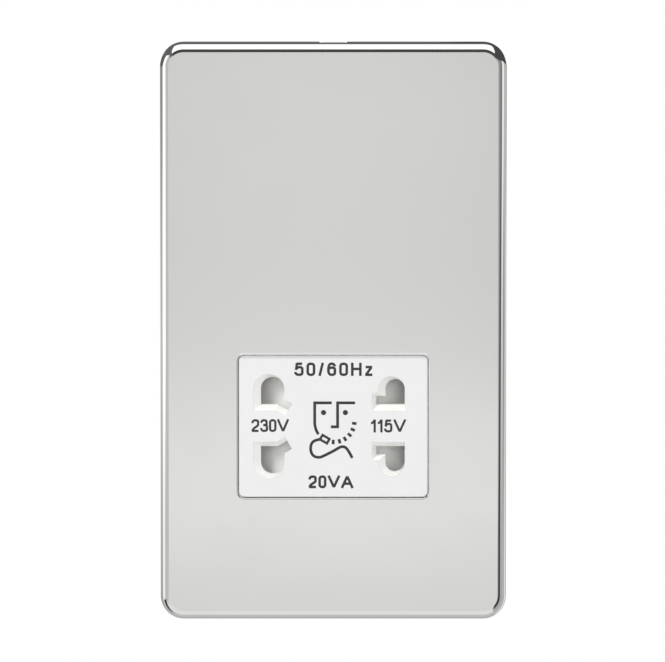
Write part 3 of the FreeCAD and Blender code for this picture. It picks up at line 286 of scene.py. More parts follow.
def paint_window_light_and_shade(nodes, plain, start, end, painted_inside_light):
    """The insert's colour in the plate's window, with painted light and shade in it.

    The walls of the openings are painted a brighter colour than the face, for the light that
    reaches them; it comes in from start to end behind the plate's face. A painted shadow darkens
    the face just under the window's top edge, and painted shade the gap round the insert on its
    left and at its foot.
    """
    x, y, z = nodes.axes(nodes.place)
    drop = z * -1.0 + WINDOW_TOP
    # Painted shadow: the face is darkened towards black just under the window's top edge.
    painted_lip_highlight_and_shade = nodes.step(drop, 0.18 * MM, 0.26 * MM) * (1 - nodes.step(drop, 0.1 * MM, 1.3 * MM))
    # Painted shade: the colour is blended half way to black in the gap round the insert, on its
    # left and at its foot.
    left_gap_painted_shade = nodes.step(x * -1.0 - WINDOW_HALF, -0.34 * MM, -0.22 * MM)
    lower_gap_painted_shade = nodes.step(z * -1.0 + WINDOW_FOOT, -0.3 * MM, -0.18 * MM)
    shaded = nodes.colours(painted_lip_highlight_and_shade * 0.4, plain, BLACK)
    # Painted light: deeper behind the face, the walls of the openings take a brighter colour than
    # the face.
    shaded = nodes.colours(nodes.step(y - cad_box[0].y, start, end), shaded, painted_inside_light)
    return nodes.colours(left_gap_painted_shade.math("MAXIMUM", lower_gap_painted_shade) * 0.5, shaded, BLACK)


def moulding(name, tint, roughness, texture, depth, painted_window_light=()):
    """Injection moulded plastic: a fine sparked texture and a slightly uneven gloss.

    The last argument is for the pieces that show in the window, and paints light and shade into
    their colour there.
    """
    nodes = material(name)
    patches = nodes.noise(90.0, 3.0)
    grain = nodes.noise(texture, 2.0)
    mottled = nodes.colours(nodes.step(patches, 0.35, 0.75), tint, darker(tint, 0.985))
    if painted_window_light:
        mottled = paint_window_light_and_shade(nodes, mottled, *painted_window_light)
    finish_surface(nodes, {
        "Base Color": mottled,
        "Roughness": roughness + patches * 0.06,
        "Normal": nodes.bump(grain, depth),
    })


def rolled_metal(name, tint, roughness, along):
    """Cold rolled or turned stock: fine drawn lines along an axis, and dull spots."""
    nodes = material(name)
    scale = [6000.0, 6000.0, 6000.0]
    scale[along] = 120.0
    lines = nodes.noise(1.0, 3.0, nodes.stretched(*scale))
    spots = nodes.step(nodes.noise(900.0, 3.0), 0.5, 0.75)
    finish_surface(nodes, {
        "Base Color": nodes.colours(spots, tint, darker(tint, 0.86)),
        "Metallic": 1.0,
        "Roughness": roughness + lines * 0.1 + spots * 0.1,
        "Normal": nodes.bump(lines, 4e-6),
    })


def laminated_steel(name, tint, sheet):
    """Punched sheets stacked along Y, each a little different, with dark oxide joints."""
    nodes = material(name)
    y = nodes.axes(nodes.place)[1]
    across = y * (1 / sheet)
    joint = nodes.step(across.math("FRACT").math("SUBTRACT", 0.5).math("ABSOLUTE"), 0.36, 0.48)
    sheets = {"W": across.math("FLOOR")}
    each = nodes.add("ShaderNodeTexWhiteNoise", {"noise_dimensions": "1D"}, sheets)
    level = Value(nodes, each.outputs[0])
    blotch = nodes.noise(300.0, 4.0)
    plain = nodes.colours(level * 0.5 + blotch * 0.5, tint, darker(tint, 0.55))
    finish_surface(nodes, {
        "Base Color": nodes.colours(joint, plain, darker(tint, 0.14)),
        "Metallic": 1.0 - joint * 0.8,
        "Roughness": 0.38 + blotch * 0.2 + joint * 0.2,
        "Normal": nodes.bump(1 - joint, 4e-5),
    })


def enamelled_wire(name, tint):
    """Copper under clear enamel, a shade darker from turn to turn."""
    nodes = material(name)
    turns = nodes.noise(1.0, 1.0, nodes.stretched(60.0, 60.0, 2600.0))
    finish_surface(nodes, {
        "Base Color": nodes.colours(nodes.step(turns, 0.3, 0.7), tint, darker(tint, 0.6)),
        "Metallic": 0.85,
        "Roughness": 0.28 + turns * 0.1,
        "Coat Weight": 0.5,
        "Coat Roughness": 0.12,
    })


def film_tape(name, tint):
    """Polyester film tape: glossy, with faint wrinkles across and turns that show at the edges."""
    nodes = material(name)
    wrinkles = nodes.noise(1.0, 3.0, nodes.stretched(90.0, 90.0, 700.0))
    finish_surface(nodes, {
        "Base Color": nodes.colours(wrinkles, tint, darker(tint, 0.8)),
        "Roughness": 0.2 + wrinkles * 0.12,
        "Normal": nodes.bump(wrinkles, 2e-5),
    })


def sleeving(name, tint):
    """Insulation of a lead: soft gloss, with the faint ripple of an extruded skin."""
    nodes = material(name)
    ripple = nodes.noise(700.0, 2.0)
    finish_surface(nodes, {
        "Base Color": nodes.colours(nodes.noise(140.0, 2.0) * 0.6, tint, darker(tint, 0.8)),
        "Roughness": 0.32 + ripple * 0.1,
        "Normal": nodes.bump(ripple, 1e-5),
    })


def printed_ink(name, tint):
    """Pad-printed ink: thin, matt, with the soft orange peel of a printed film."""
    nodes = material(name)
    film = nodes.noise(1500.0, 2.0)
    finish_surface(nodes, {
        "Base Color": nodes.colours(nodes.step(film, 0.4, 0.8), tint, darker(tint, 0.8)),
        "Roughness": 0.42 + film * 0.1,
        "Normal": nodes.bump(film, 3e-6),
    })


def solder(name, tint):
    """Solder: bright, with fine frosted crystals."""
    nodes = material(name)
    frost = nodes.cells(3500.0)
    finish_surface(nodes, {
        "Base Color": nodes.colours(frost, tint, darker(tint, 0.75)),
        "Metallic": 1.0,
        "Roughness": 0.22 + frost * 0.2,
        "Normal": nodes.bump(frost, 6e-6),
    })


def shade_smooth(mesh):
    """Smooth faces, with every edge sharper than 35 degrees kept as an edge."""
    mesh.polygons.foreach_set("use_smooth", [True] * len(mesh.polygons))
    mesh.set_sharp_from_angle(angle=math.radians(35.0))


def link(name, data, surface=None):
    """A new object in the scene; a mesh can be given its only material."""
    made = bpy.data.objects.new(name, data)
    bpy.context.scene.collection.objects.link(made)
    if surface:
        data.materials.clear()
        data.materials.append(surface)
    return made


def plain_mesh(source, name):
    """The evaluated object as a mesh of its own; the source is removed."""
    bpy.context.view_layer.update()
    graph = bpy.context.evaluated_depsgraph_get()
    mesh = bpy.data.meshes.new_from_object(source.evaluated_get(graph))
    mesh.name = name
    bpy.data.objects.remove(source)
    return mesh


def joined(name, meshes, surface):
    """Several meshes as one piece."""
    bm = bmesh.new()
    for mesh in meshes:
        bm.from_mesh(mesh)
        bpy.data.meshes.remove(mesh)
    bmesh.ops.remove_doubles(bm, verts=bm.verts, dist=1e-7)
    bmesh.ops.recalc_face_normals(bm, faces=bm.faces)
    whole = bpy.data.meshes.new(name)
    bm.to_mesh(whole)
    bm.free()
    for polygon in whole.polygons:
        polygon.material_index = 0
    made = link(name, whole, surface)
    shade_smooth(whole)
    return made


class Geometry:
    """A Geometry Nodes tree with named inputs, ending in Realize Instances and Set Material."""

    def __init__(self, name, surface):
        self.tree = bpy.data.node_groups.new(name, "GeometryNodeTree")
        self.surface = surface
        self.tree.interface.new_socket(
            "Geometry", in_out="OUTPUT", socket_type="NodeSocketGeometry")
        self.entry = self.tree.nodes.new("NodeGroupInput")
        self.sizes = {}

    def size(self, name, value, kind="NodeSocketFloat"):
        """A named input of the tree, set to a value."""
        socket = self.tree.interface.new_socket(name, in_out="INPUT", socket_type=kind)
        self.sizes[socket.identifier] = value
        return self.entry.outputs[name]

    def add(self, kind, settings=(), values=()):
        """A new node's first output: its settings, then the values or links of its sockets."""
        made = self.tree.nodes.new(kind)
        for name, setting in dict(settings).items():
            setattr(made, name, setting)
        for key, value in dict(values).items():
            if isinstance(value, bpy.types.NodeSocket):
                self.tree.links.new(value, made.inputs[key])
            else:
                made.inputs[key].default_value = value
        return made.outputs[0]

    def mesh(self, geometry, name):
        """Runs the tree on an empty mesh and returns the result as a plain mesh."""
        whole = self.add("GeometryNodeRealizeInstances", (), {0: geometry})
        surfaced = self.add("GeometryNodeSetMaterial", (), {0: whole, "Material": self.surface})
        exit_node = self.tree.nodes.new("NodeGroupOutput")
        self.tree.links.new(surfaced, exit_node.inputs[0])
        holder = link(name + "_source", bpy.data.meshes.new(name + "_source"))
        modifier = holder.modifiers.new(name, "NODES")
        modifier.node_group = self.tree
        for identifier, value in self.sizes.items():
            modifier[identifier] = value
        return plain_mesh(holder, name)


class SHAVERSOCKET_PG_finishes(bpy.types.PropertyGroup):
    """Colours of the finishes."""

    chrome: bpy.props.FloatVectorProperty(
        name="Chrome", description="Colour of the polished plate", subtype="COLOR", size=4,
        min=0.0, max=1.0, default=(0.87, 0.874, 0.858, 1.0))
    white: bpy.props.FloatVectorProperty(
        name="White moulding", description="Colour of the insert and the shutter", subtype="COLOR",
        size=4, min=0.0, max=1.0, default=(0.70, 0.70, 0.70, 1.0))
    ink: bpy.props.FloatVectorProperty(
        name="Print", description="Colour of the printing on the insert", subtype="COLOR", size=4,
        min=0.0, max=1.0, default=(0.036, 0.031, 0.029, 1.0))
    housing: bpy.props.FloatVectorProperty(
        name="Housing", description="Colour of the rear housing and the terminal block",
        subtype="COLOR", size=4, min=0.0, max=1.0, default=(0.03, 0.031, 0.034, 1.0))


class SHAVERSOCKET_PG_print(bpy.types.PropertyGroup):
    """Sizes of the printing on the insert."""

    stroke: bpy.props.FloatProperty(
        name="Stroke", description="Width of the picture's lines", unit="LENGTH",
        default=0.73 * MM)
    proud: bpy.props.FloatProperty(
        name="Film", description="How far the ink stands off the insert", unit="LENGTH",
        default=0.03 * MM)


class SHAVERSOCKET_PG_coils(bpy.types.PropertyGroup):
    """Sizes of the wound turns and the shutter's springs."""

    primary_wire: bpy.props.FloatProperty(
        name="Primary wire", description="Diameter of the primary's wire", unit="LENGTH",
        default=0.32 * MM)
    secondary_wire: bpy.props.FloatProperty(
        name="Secondary wire", description="Diameter of the secondary's wire", unit="LENGTH",
        default=0.45 * MM)
    spring_wire: bpy.props.FloatProperty(
        name="Spring wire", description="Diameter of the spring wire", unit="LENGTH",
        default=0.4 * MM)
    spring_turns: bpy.props.FloatProperty(
        name="Spring turns", description="Working turns of each spring", default=9.0)


class SHAVERSOCKET_PG_studio(bpy.types.PropertyGroup):
    """The camera, the light and the floor."""

    distance: bpy.props.FloatProperty(
        name="Camera distance", description="From the plate's face", unit="LENGTH", default=2.5)
    elevation: bpy.props.FloatProperty(
        name="Camera elevation", description="Angle above the horizon", unit="ROTATION",
        default=math.radians(5.0))
    across: bpy.props.FloatProperty(
        name="View width", description="Width of the picture at the plate's face", unit="LENGTH",
        default=169.1 * MM)
    key: bpy.props.FloatProperty(
        name="Key lamp", description="Power of the lamp above on the left", unit="POWER",
        default=18.0)
    ambient: bpy.props.FloatProperty(
        name="Ambient", description="Level of the light from all round", default=0.71)
    white_card: bpy.props.FloatProperty(
        name="White card", description="Level of the white cards that the metal mirrors",
        default=1.25)
    floor_drop: bpy.props.FloatProperty(
        name="Floor drop", description="From the object's foot down to the floor", unit="LENGTH",
        default=50 * MM)


def surfaces():
    """Every finish by name, made once."""
    if "chrome" in FINISHES:
        return FINISHES
    wanted = bpy.context.scene.shaver_finishes
    white, black = tuple(wanted.white), tuple(wanted.housing)
    polished_metal("chrome", tuple(wanted.chrome), 0.035)
    # Painted light in the window: the walls of the openings are painted brighter from 0.28 to 0.5
    # mm behind the face.
    painted_window_light = (0.28 * MM, 0.5 * MM, colour(0.98, 0.977, 0.955))
    moulding("white_moulding", white, 0.3, 1400.0, 3e-6, painted_window_light)
    moulding("frame_moulding", colour(0.70, 0.69, 0.66), 0.42, 1100.0, 1.2e-5)
    moulding("housing_moulding", black, 0.42, 1300.0, 5e-5)
    moulding("carrier_moulding", colour(0.52, 0.5, 0.45), 0.4, 1100.0, 1.2e-5)
    moulding("bobbin_moulding", colour(0.62, 0.57, 0.45), 0.38, 1100.0, 1.2e-5)
    moulding("cutout_case", colour(0.05, 0.05, 0.055), 0.3, 1800.0, 6e-6)
    rolled_metal("spring_steel", colour(0.55, 0.56, 0.57), 0.22, 0)
    rolled_metal("contact_bronze", colour(0.78, 0.5, 0.28), 0.2, 1)
    rolled_metal("terminal_brass", colour(0.8, 0.62, 0.3), 0.24, 2)
    rolled_metal("clamp_steel", colour(0.6, 0.62, 0.64), 0.26, 2)
    rolled_metal("screw_steel", colour(0.62, 0.63, 0.63), 0.2, 1)
    laminated_steel("core_steel", colour(0.34, 0.35, 0.37), 0.5 * MM)
    enamelled_wire("winding_copper", colour(0.72, 0.29, 0.12))
    film_tape("coil_tape", colour(0.78, 0.58, 0.09))
    sleeving("lead_brown", colour(0.13, 0.055, 0.025))
    sleeving("lead_blue", colour(0.02, 0.13, 0.42))
    sleeving("lead_red", colour(0.5, 0.025, 0.02))
    sleeving("lead_white", colour(0.72, 0.72, 0.7))
    printed_ink("print_ink", tuple(wanted.ink))
    solder("solder", colour(0.66, 0.67, 0.68))
    return FINISHES


class SHAVERSOCKET_OT_finishes(bpy.types.Operator):
    """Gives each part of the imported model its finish"""

    bl_idname = "shaver_socket.finishes"
    bl_label = "Finishes"

    def execute(self, context):
        known = surfaces()
        for finish, names in FINISHED_NODES.items():
            for name in names:
                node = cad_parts[name]
                for place in node.material_slots:
                    place.material = known[finish]
        return {"FINISHED"}


class SHAVERSOCKET_OT_springs(bpy.types.Operator):
    """Winds the two springs that return the shutter to the middle"""

    bl_idname = "shaver_socket.springs"
    bl_label = "Shutter springs"

    def execute(self, context):
        sizes = context.scene.shaver_coils
        for node, side in (("shutter_spring_left", -1), ("shutter_spring_right", 1)):
            low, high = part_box(node)
            inner, outer = (low.x, high.x) if side > 0 else (high.x, low.x)
            middle = ((low.y + high.y) / 2, (low.z + high.z) / 2)
            tree = Geometry(node + "_tree", surfaces()["spring_steel"])
            radius = tree.size("Coil radius", (high.z - low.z - sizes.spring_wire) / 2)
            wire = tree.size("Wire radius", sizes.spring_wire / 2)
            length = tree.size("Length", high.x - low.x - sizes.spring_wire)
            turns = tree.size("Turns", sizes.spring_turns)
            path = tree.add("GeometryNodeCurveSpiral", (), {
                "Resolution": 20, "Rotations": turns, "Start Radius": radius, "End Radius": radius,
                "Height": length,
            })
            profile = tree.add("GeometryNodeCurvePrimitiveCircle", (), {
                "Resolution": 10, "Radius": wire})
            tube = tree.add("GeometryNodeCurveToMesh", (), {
                0: path, 1: profile, "Fill Caps": True})
            mesh = tree.mesh(tube, node + "_coil")
            place = Matrix.Translation(Vector((inner + side * sizes.spring_wire / 2, *middle)))
            mesh.transform(place @ Matrix.Rotation(side * math.pi / 2, 4, "Y"))
            coil = joined(node + "_coil", [mesh], surfaces()["spring_steel"])
            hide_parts(node)
            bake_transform(coil)
        return {"FINISHED"}


class SHAVERSOCKET_OT_windings(bpy.types.Operator):
    """Lays the turns of enamelled wire on both windings"""

    bl_idname = "shaver_socket.windings"
    bl_label = "Windings"

    def execute(self, context):
        sizes = context.scene.shaver_coils
        for node, wire in (("primary_winding", sizes.primary_wire),
                           ("secondary_winding", sizes.secondary_wire)):
            low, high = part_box(node)
            spacing = wire * 1.04
            fitting = int((high.z - low.z - wire) / spacing) + 1
            tree = Geometry(node + "_tree", surfaces()["winding_copper"])
            width = tree.size("Width", high.x - low.x)
            depth = tree.size("Depth", high.y - low.y)
            radius = tree.size("Wire radius", wire / 2)
            pitch = tree.size("Pitch", spacing)
            count = tree.size("Turns", fitting, "NodeSocketInt")
            loop = tree.add("GeometryNodeCurvePrimitiveQuadrilateral", (), {
                "Width": width, "Height": depth})
            rounded = tree.add("GeometryNodeFilletCurve", {"mode": "POLY"}, {
                0: loop, "Radius": 3.0 * MM, "Count": 6})
            profile = tree.add("GeometryNodeCurvePrimitiveCircle", (), {
                "Resolution": 8, "Radius": radius})
            turn = tree.add("GeometryNodeCurveToMesh", (), {0: rounded, 1: profile})
            step = tree.add("ShaderNodeCombineXYZ", (), {"Z": pitch})
            line = tree.add("GeometryNodeMeshLine", {"mode": "OFFSET"}, {
                "Count": count, "Offset": step})
            stack = tree.add("GeometryNodeInstanceOnPoints", (), {
                "Points": line, "Instance": turn})
            mesh = tree.mesh(stack, node + "_turns")
            mesh.transform(Matrix.Translation(Vector((
                (low.x + high.x) / 2, (low.y + high.y) / 2, low.z + wire / 2))))
            turns = joined(node + "_turns", [mesh], surfaces()["winding_copper"])
            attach(turns, "socket")
        return {"FINISHED"}


# Each figure's width, and its centre lines in a box one wide and one high. A capital R marks a
# smooth line. E is half a stroke: where a stroke runs out to the figure's edge, it ends at -E or
# 1 + E.
E = 0.1
FIGURES = {
    "0": (0.43, [("R", [(0, 0), (1, 0), (1, 0.5), (1, 1), (0, 1), (0, 0.5), (0, 0)])]),
    "1": (0.22, [("", [(1, 1 + E), (1, -E)]),
                 ("R", [(-0.25, 0.76), (0.55, 0.78), (0.92, 1 + E / 2)])]),
    "2": (0.45, [("R", [(0, 0.72), (0, 1), (1, 1), (1, 0.7), (1, 0.5), (0.45, 0.32), (0.05, 0.14),
                        (0, 0)]),
                 ("", [(-0.12, 0), (1.08, 0)])]),
    "3": (0.45, [("R", [(0.02, 0.76), (0.04, 1), (0.94, 1), (0.94, 0.76), (0.94, 0.55),
                        (0.35, 0.55)]),
                 ("R", [(0.35, 0.55), (1, 0.55), (1.02, 0.27), (1, 0), (0, 0), (-0.02, 0.28)])]),
    "5": (0.45, [("", [(0.98, 1), (0.14, 1)]), ("", [(0.2, 1 + E / 2), (0.08, 0.44)]),
                 ("R", [(0.05, 0.47), (0.2, 0.68), (1, 0.7), (1.02, 0.33), (1, 0), (0, 0),
                        (-0.04, 0.26)])]),
    "6": (0.45, [("R", [(0.98, 0.76), (0.94, 1), (0.02, 1.02), (0, 0.45)]),
                 ("R", [(0, 0.45), (0, 0), (0.98, 0), (1, 0.32), (0.98, 0.65), (0.02, 0.65),
                        (0, 0.34)])]),
    "V": (0.72, [("", [(-0.08, 1 + E), (0.5, -0.02)]), ("", [(0.5, -0.02), (1.08, 1 + E)])]),
    "A": (0.72, [("", [(-0.08, -E), (0.5, 1.02)]), ("", [(0.5, 1.02), (1.08, -E)]),
                 ("", [(0.18, 0.32), (0.82, 0.32)])]),
    "H": (0.55, [("", [(0, -E), (0, 1 + E)]), ("", [(1, -E), (1, 1 + E)]),
                 ("", [(0, 0.53), (1, 0.53)])]),
    "z": (0.38, [("", [(-0.05, 0.7), (1.12, 0.7)]), ("", [(1, 0.7), (0.02, 0)]),
                 ("", [(-0.12, 0), (1.15, 0)])]),
    "/": (0.22, [("", [(0, -E), (1, 1 + E)])]),
}


class Printing:
    """Ink on the insert's face, placed by the photograph's pixels."""

    def __init__(self, sizes):
        self.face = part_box("socket_insert")[0].y
        self.stroke, self.proud = sizes.stroke, sizes.proud
        self.meshes = []

    def at(self, px, py):
        """X and Z of a point of the plate, from its pixel."""
        return (px - ORIGIN_PX) * PIXEL_ACROSS, (ORIGIN_PY - py) * PIXEL_DOWN

    def line(self, points, smooth=False, width=None, closed=False):
        """A printed line, slightly domed and sunk a little in the face."""
        curve = bpy.data.curves.new("ink_line", "CURVE")
        curve.dimensions = "3D"
        curve.bevel_depth = (width or self.stroke) / 2
        curve.bevel_resolution = 2
        curve.use_fill_caps = True
        curve.resolution_u = 10
        spline = curve.splines.new("NURBS" if smooth else "POLY")
        spline.points.add(len(points) - 1)
        for point, (px, py) in zip(spline.points, points):
            x, z = self.at(px, py)
            point.co = (x, 0.0, z, 1.0)
        if smooth:
            spline.order_u = 3
            spline.use_endpoint_u = not closed
        spline.use_cyclic_u = closed
        self.press(plain_mesh(link("ink_line", curve), "ink_line"))

    def press(self, mesh):
        """Flattens a round line to the film's thickness, on the insert's face."""
        thick = max(v.co.y for v in mesh.vertices) - min(v.co.y for v in mesh.vertices)
        for v in mesh.vertices:
            v.co.y = self.face + v.co.y * (2 * self.proud / thick)
        self.meshes.append(mesh)

    def dot(self, px, py, radius):
        """A round spot, whose radius is in pixels too."""
        bm = bmesh.new()
        bmesh.ops.create_circle(bm, cap_ends=True, segments=28, radius=radius * PIXEL)
        raised = bmesh.ops.extrude_face_region(bm, geom=bm.faces[:])["geom"]
        for v in (g for g in raised if isinstance(g, bmesh.types.BMVert)):
            v.co.z = 1.0
        x, z = self.at(px, py)
        for v in bm.verts:
            v.co = (x + v.co.x, self.face + self.proud * (1 - 2 * v.co.z), z + v.co.y)
        mesh = bpy.data.meshes.new("ink_dot")
        bm.to_mesh(mesh)
        bm.free()
        self.meshes.append(mesh)

    def figures(self, text, x0, x1, y0, y1, stroke, gap):
        """Plain figures that fill a box.

        The box and the stroke are in pixels. The gap between two figures is a share of a centre
        line's height, over and above the stroke.
        """
        inner = y1 - y0 - stroke
        room = stroke / inner + gap
        whole = sum(FIGURES[letter][0] for letter in text) + room * (len(text) - 1)
        stretch = (x1 - x0 - stroke) / whole
        x = x0 + stroke / 2
        for letter in text:
            width, lines = FIGURES[letter]
            for kind, points in lines:
                placed = [(x + across * width * stretch, y1 - stroke / 2 - up * inner)
                          for across, up in points]
                ring = points[0] == points[-1]
                self.line(placed[:-1] if ring else placed, kind == "R", stroke * PIXEL, ring)
            x += (width + room) * stretch


class SHAVERSOCKET_OT_print(bpy.types.Operator):
    """Prints the figures and the shaver picture on the insert"""

    bl_idname = "shaver_socket.print"
    bl_label = "Print on the insert"

    def execute(self, context):
        ink = Printing(context.scene.shaver_print)
        ink.figures("230V", 251.3, 288.6, 419.3, 432.2, 2.3, 0.04)
        ink.figures("115V", 370.7, 405.7, 419.6, 432.7, 2.3, 0.08)
        ink.figures("50/60Hz", 294.3, 372.8, 362.6, 376.2, 2.6, 0.14)
        ink.figures("20VA", 308.4, 353.2, 475.6, 488.6, 2.6, 0.07)
        # The face: brow and cheek, brow and nose, and two eyes.
        ink.line([(313.3, 403.0), (331.8, 403.0)])
        ink.line([(314.7, 401.6), (314.7, 423.2)])
        ink.line([(314.7, 423.0), (315.0, 429.5), (318.5, 434.4)], smooth=True)
        ink.line([(336.3, 403.0), (355.1, 403.0)])
        ink.line([(337.6, 401.6), (337.6, 428.2)])
        ink.line([(339.0, 427.0), (330.9, 427.0)])
        for px in (323.5, 345.4):
            ink.dot(px, 412.7, 2.6)
        self.stubble(ink)
        self.razor(ink)
        print_piece = joined("insert_print", ink.meshes, surfaces()["print_ink"])
        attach(print_piece, "socket")
        return {"FINISHED"}

    def stubble(self, ink):
        """Short strokes along the jaw, which all point at the middle of the face."""
        middle_x, middle_y = 333.5, 421.0
        for px, py in ((354.3, 423.6), (352.8, 429.8), (349.6, 435.1), (345.0, 439.1),
                       (339.5, 441.5), (333.2, 442.2)):
            out = Vector((px - middle_x, py - middle_y)).normalized() * 2.25
            ink.line([(px - out.x, py - out.y), (px + out.x, py + out.y)], width=2.9 * PIXEL)

    def razor(self, ink):
        """The razor's head, a slanted box with square corners, and its cord."""
        head = [Vector(corner) for corner in (
            (322.6, 435.2), (329.4, 439.2), (327.0, 443.6), (320.0, 439.6))]
        for first, second in zip(head, head[1:] + head[:1]):
            over = (second - first).normalized() * 1.1
            ink.line([first - over, second + over], width=2.5 * PIXEL)
        ink.line([(320.6, 439.6), (316.8, 439.8), (311.4, 442.8), (310.2, 450.0), (312.9, 456.4),
                  (319.4, 458.1), (324.4, 455.8), (334.6, 450.7), (341.6, 446.2), (347.4, 448.2),
                  (352.3, 458.2)], smooth=True)


class SHAVERSOCKET_OT_joints(bpy.types.Operator):
    """Solders the leads to the terminals' tags and the contacts' tails"""

    bl_idname = "shaver_socket.joints"
    bl_label = "Soldered joints"

    def execute(self, context):
        meshes = []
        for lead in ("lead_live", "lead_neutral", "lead_common", "lead_230v", "lead_115v"):
            points = [v.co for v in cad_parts[lead].data.vertices]
            low_z = min(co.z for co in points)
            ring = [co for co in points if co.z < low_z + 0.01 * MM]
            x = (min(co.x for co in ring) + max(co.x for co in ring)) / 2
            y = (min(co.y for co in ring) + max(co.y for co in ring)) / 2
            bm = bmesh.new()
            bmesh.ops.create_icosphere(bm, subdivisions=3, radius=1.05 * MM)
            for v in bm.verts:
                v.co.z = v.co.z * 0.7 if v.co.z > 0 else 0.0
                v.co += Vector((x, y, low_z + 0.01 * MM))
            mesh = bpy.data.meshes.new("joint")
            bm.to_mesh(mesh)
            bm.free()
            meshes.append(mesh)
        piece = joined("soldered_joints", meshes, surfaces()["solder"])
        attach(piece, "socket")
        return {"FINISHED"}


class SHAVERSOCKET_OT_stage(bpy.types.Operator):
    """Sets up the floor, the lamp, the surroundings and the camera"""

    bl_idname = "shaver_socket.stage"
    bl_label = "Studio"

    def execute(self, context):
        sizes = context.scene.shaver_studio
        scene = context.scene
        scene.view_settings.view_transform = "Standard"
        self.floor(sizes)
        self.lamp("key", KEY_PLACE, KEY_WIDTH, sizes.key)
        self.surroundings(scene, sizes)
        scene.camera = self.camera(sizes)
        return {"FINISHED"}

    def floor(self, sizes):
        bm = bmesh.new()
        bmesh.ops.create_grid(bm, x_segments=8, y_segments=8, size=FLOOR_HALF)
        height = cad_box[0].z - sizes.floor_drop
        bmesh.ops.translate(bm, verts=bm.verts, vec=(0.0, 0.0, height))
        mesh = bpy.data.meshes.new("studio_floor")
        bm.to_mesh(mesh)
        bm.free()
        nodes = material("floor_paper")
        x, y, _ = nodes.axes(nodes.place)
        away = (x * x + y * y).math("SQRT")
        fibres = nodes.noise(300.0, 3.0)
        pale = nodes.colours(fibres, colour(0.9, 0.9, 0.9), colour(0.87, 0.87, 0.87))
        paper = nodes.add("ShaderNodeBsdfDiffuse", (), {"Color": pale}).outputs[0]
        white = nodes.add("ShaderNodeEmission", (), {"Color": WHITE, "Strength": 1.0}).outputs[0]
        seen = nodes.add("ShaderNodeLightPath").outputs["Is Camera Ray"]
        share = nodes.step(away, *FLOOR_FADE) * Value(nodes, seen)
        mixed = nodes.add("ShaderNodeMixShader", (), {0: share, 1: paper, 2: white})
        nodes.add("ShaderNodeOutputMaterial", (), {"Surface": mixed.outputs[0]})
        floor = link("studio_floor", mesh, FINISHES["floor_paper"])
        floor.visible_glossy = False

    def lamp(self, name, place, size, power):
        data = bpy.data.lights.new(name, "AREA")
        data.shape, data.size, data.energy = "DISK", size, power
        lamp = link(name, data)
        lamp.location = place
        lamp.rotation_euler = Vector(place).to_track_quat("Z", "Y").to_euler()
        lamp.visible_glossy = False

    def surroundings(self, scene, sizes):
        """White for the camera, soft light for plain surfaces, and what the metal mirrors."""
        world = bpy.data.worlds.new("studio")
        scene.world = world
        world.use_nodes = True
        nodes = Nodes(world.node_tree, "Generated")
        x, y, z = nodes.axes(nodes.place)
        polar = (y * -1.0).math("ARCCOSINE") * (180 / math.pi)
        frontal = nodes.ramp(polar, [(0, 3.8), (18, 3.2), (36, 1.3), (60, 0.7), (88, 0.95),
                                     (110, 0.8), (180, 0.8)])
        overhead = nodes.ramp(z, [(-1.0, 0.7), (-0.1, 0.9), (0.3, 1.05), (1.0, 1.2)])
        soft = frontal * overhead * sizes.ambient
        mirrored = self.mirrored(nodes, x, z, polar, sizes.white_card)
        path = nodes.add("ShaderNodeLightPath")
        seen, glossy, passing = (Value(nodes, path.outputs[name]) for name in (
            "Is Camera Ray", "Is Glossy Ray", "Is Transmission Ray"))
        level = nodes.blend(glossy.math("MAXIMUM", passing), soft, mirrored)
        level = nodes.blend(seen, level, 1.0)
        sky = nodes.add("ShaderNodeBackground", (), {"Color": WHITE, "Strength": level})
        nodes.add("ShaderNodeOutputWorld", (), {"Surface": sky.outputs[0]})

    def mirrored(self, nodes, x, z, polar, white):
        """The level of the cards round the plate, which its metal mirrors.

        In degrees, polar is the angle off the front, and lateral the height over the horizontal
        as the front sees it. The face mirrors a small spot in front, and the edges what lies
        outside it. How far down the plate a point is shows in z, which falls from about -0.06 at
        its top to -0.12 at its foot.
        """
        lateral = z.math("ARCTAN2", x.math("ABSOLUTE")) * (180 / math.pi)
        down = lateral * -1.0
        on_right = x > 0.0
        lower_down = 1 - nodes.step(z, -0.11, -0.085)

        # The spot that the flat face mirrors.
        face = nodes.ramp(z, [(-0.13, 0.745), (-0.1137, 0.748), (-0.1117, 0.795), (-0.1056, 0.863),
                              (-0.0975, 0.848), (-0.0893, 0.756), (-0.0795, 0.731),
                              (-0.0645, 0.747), (-0.058, 0.724), (-0.05, 0.715)])
        lean = x * 0.45 * (1 - lower_down)
        bow = (x * x * 115.0).math("MINIMUM", 0.35) * (1 - lower_down * 0.5)
        across = face - lean - bow
        near = (1 - nodes.step(polar, 8.5, 10.0)) * (1 - nodes.step(z, 0.03, 0.07))

        # The left edge: a grey card, a white one, and the dim rear.
        rear = nodes.ramp(z, [(-0.13, 0.39), (-0.117, 0.39), (-0.088, 0.58), (-0.064, 0.3),
                              (-0.03, 0.12)])
        left_white = nodes.blend(lower_down, white, 1.0)
        early = nodes.step(lateral, -2, 12) * 9.0 + nodes.step(z, -0.078, -0.066) * 6.0
        left = nodes.cards(polar, face, [(11, 14, 0.57)])
        left = nodes.cards(polar - lower_down * 15.0, left, [(42, 46, left_white)])
        left = nodes.cards(polar + early, left, [(92, 96, rear)])

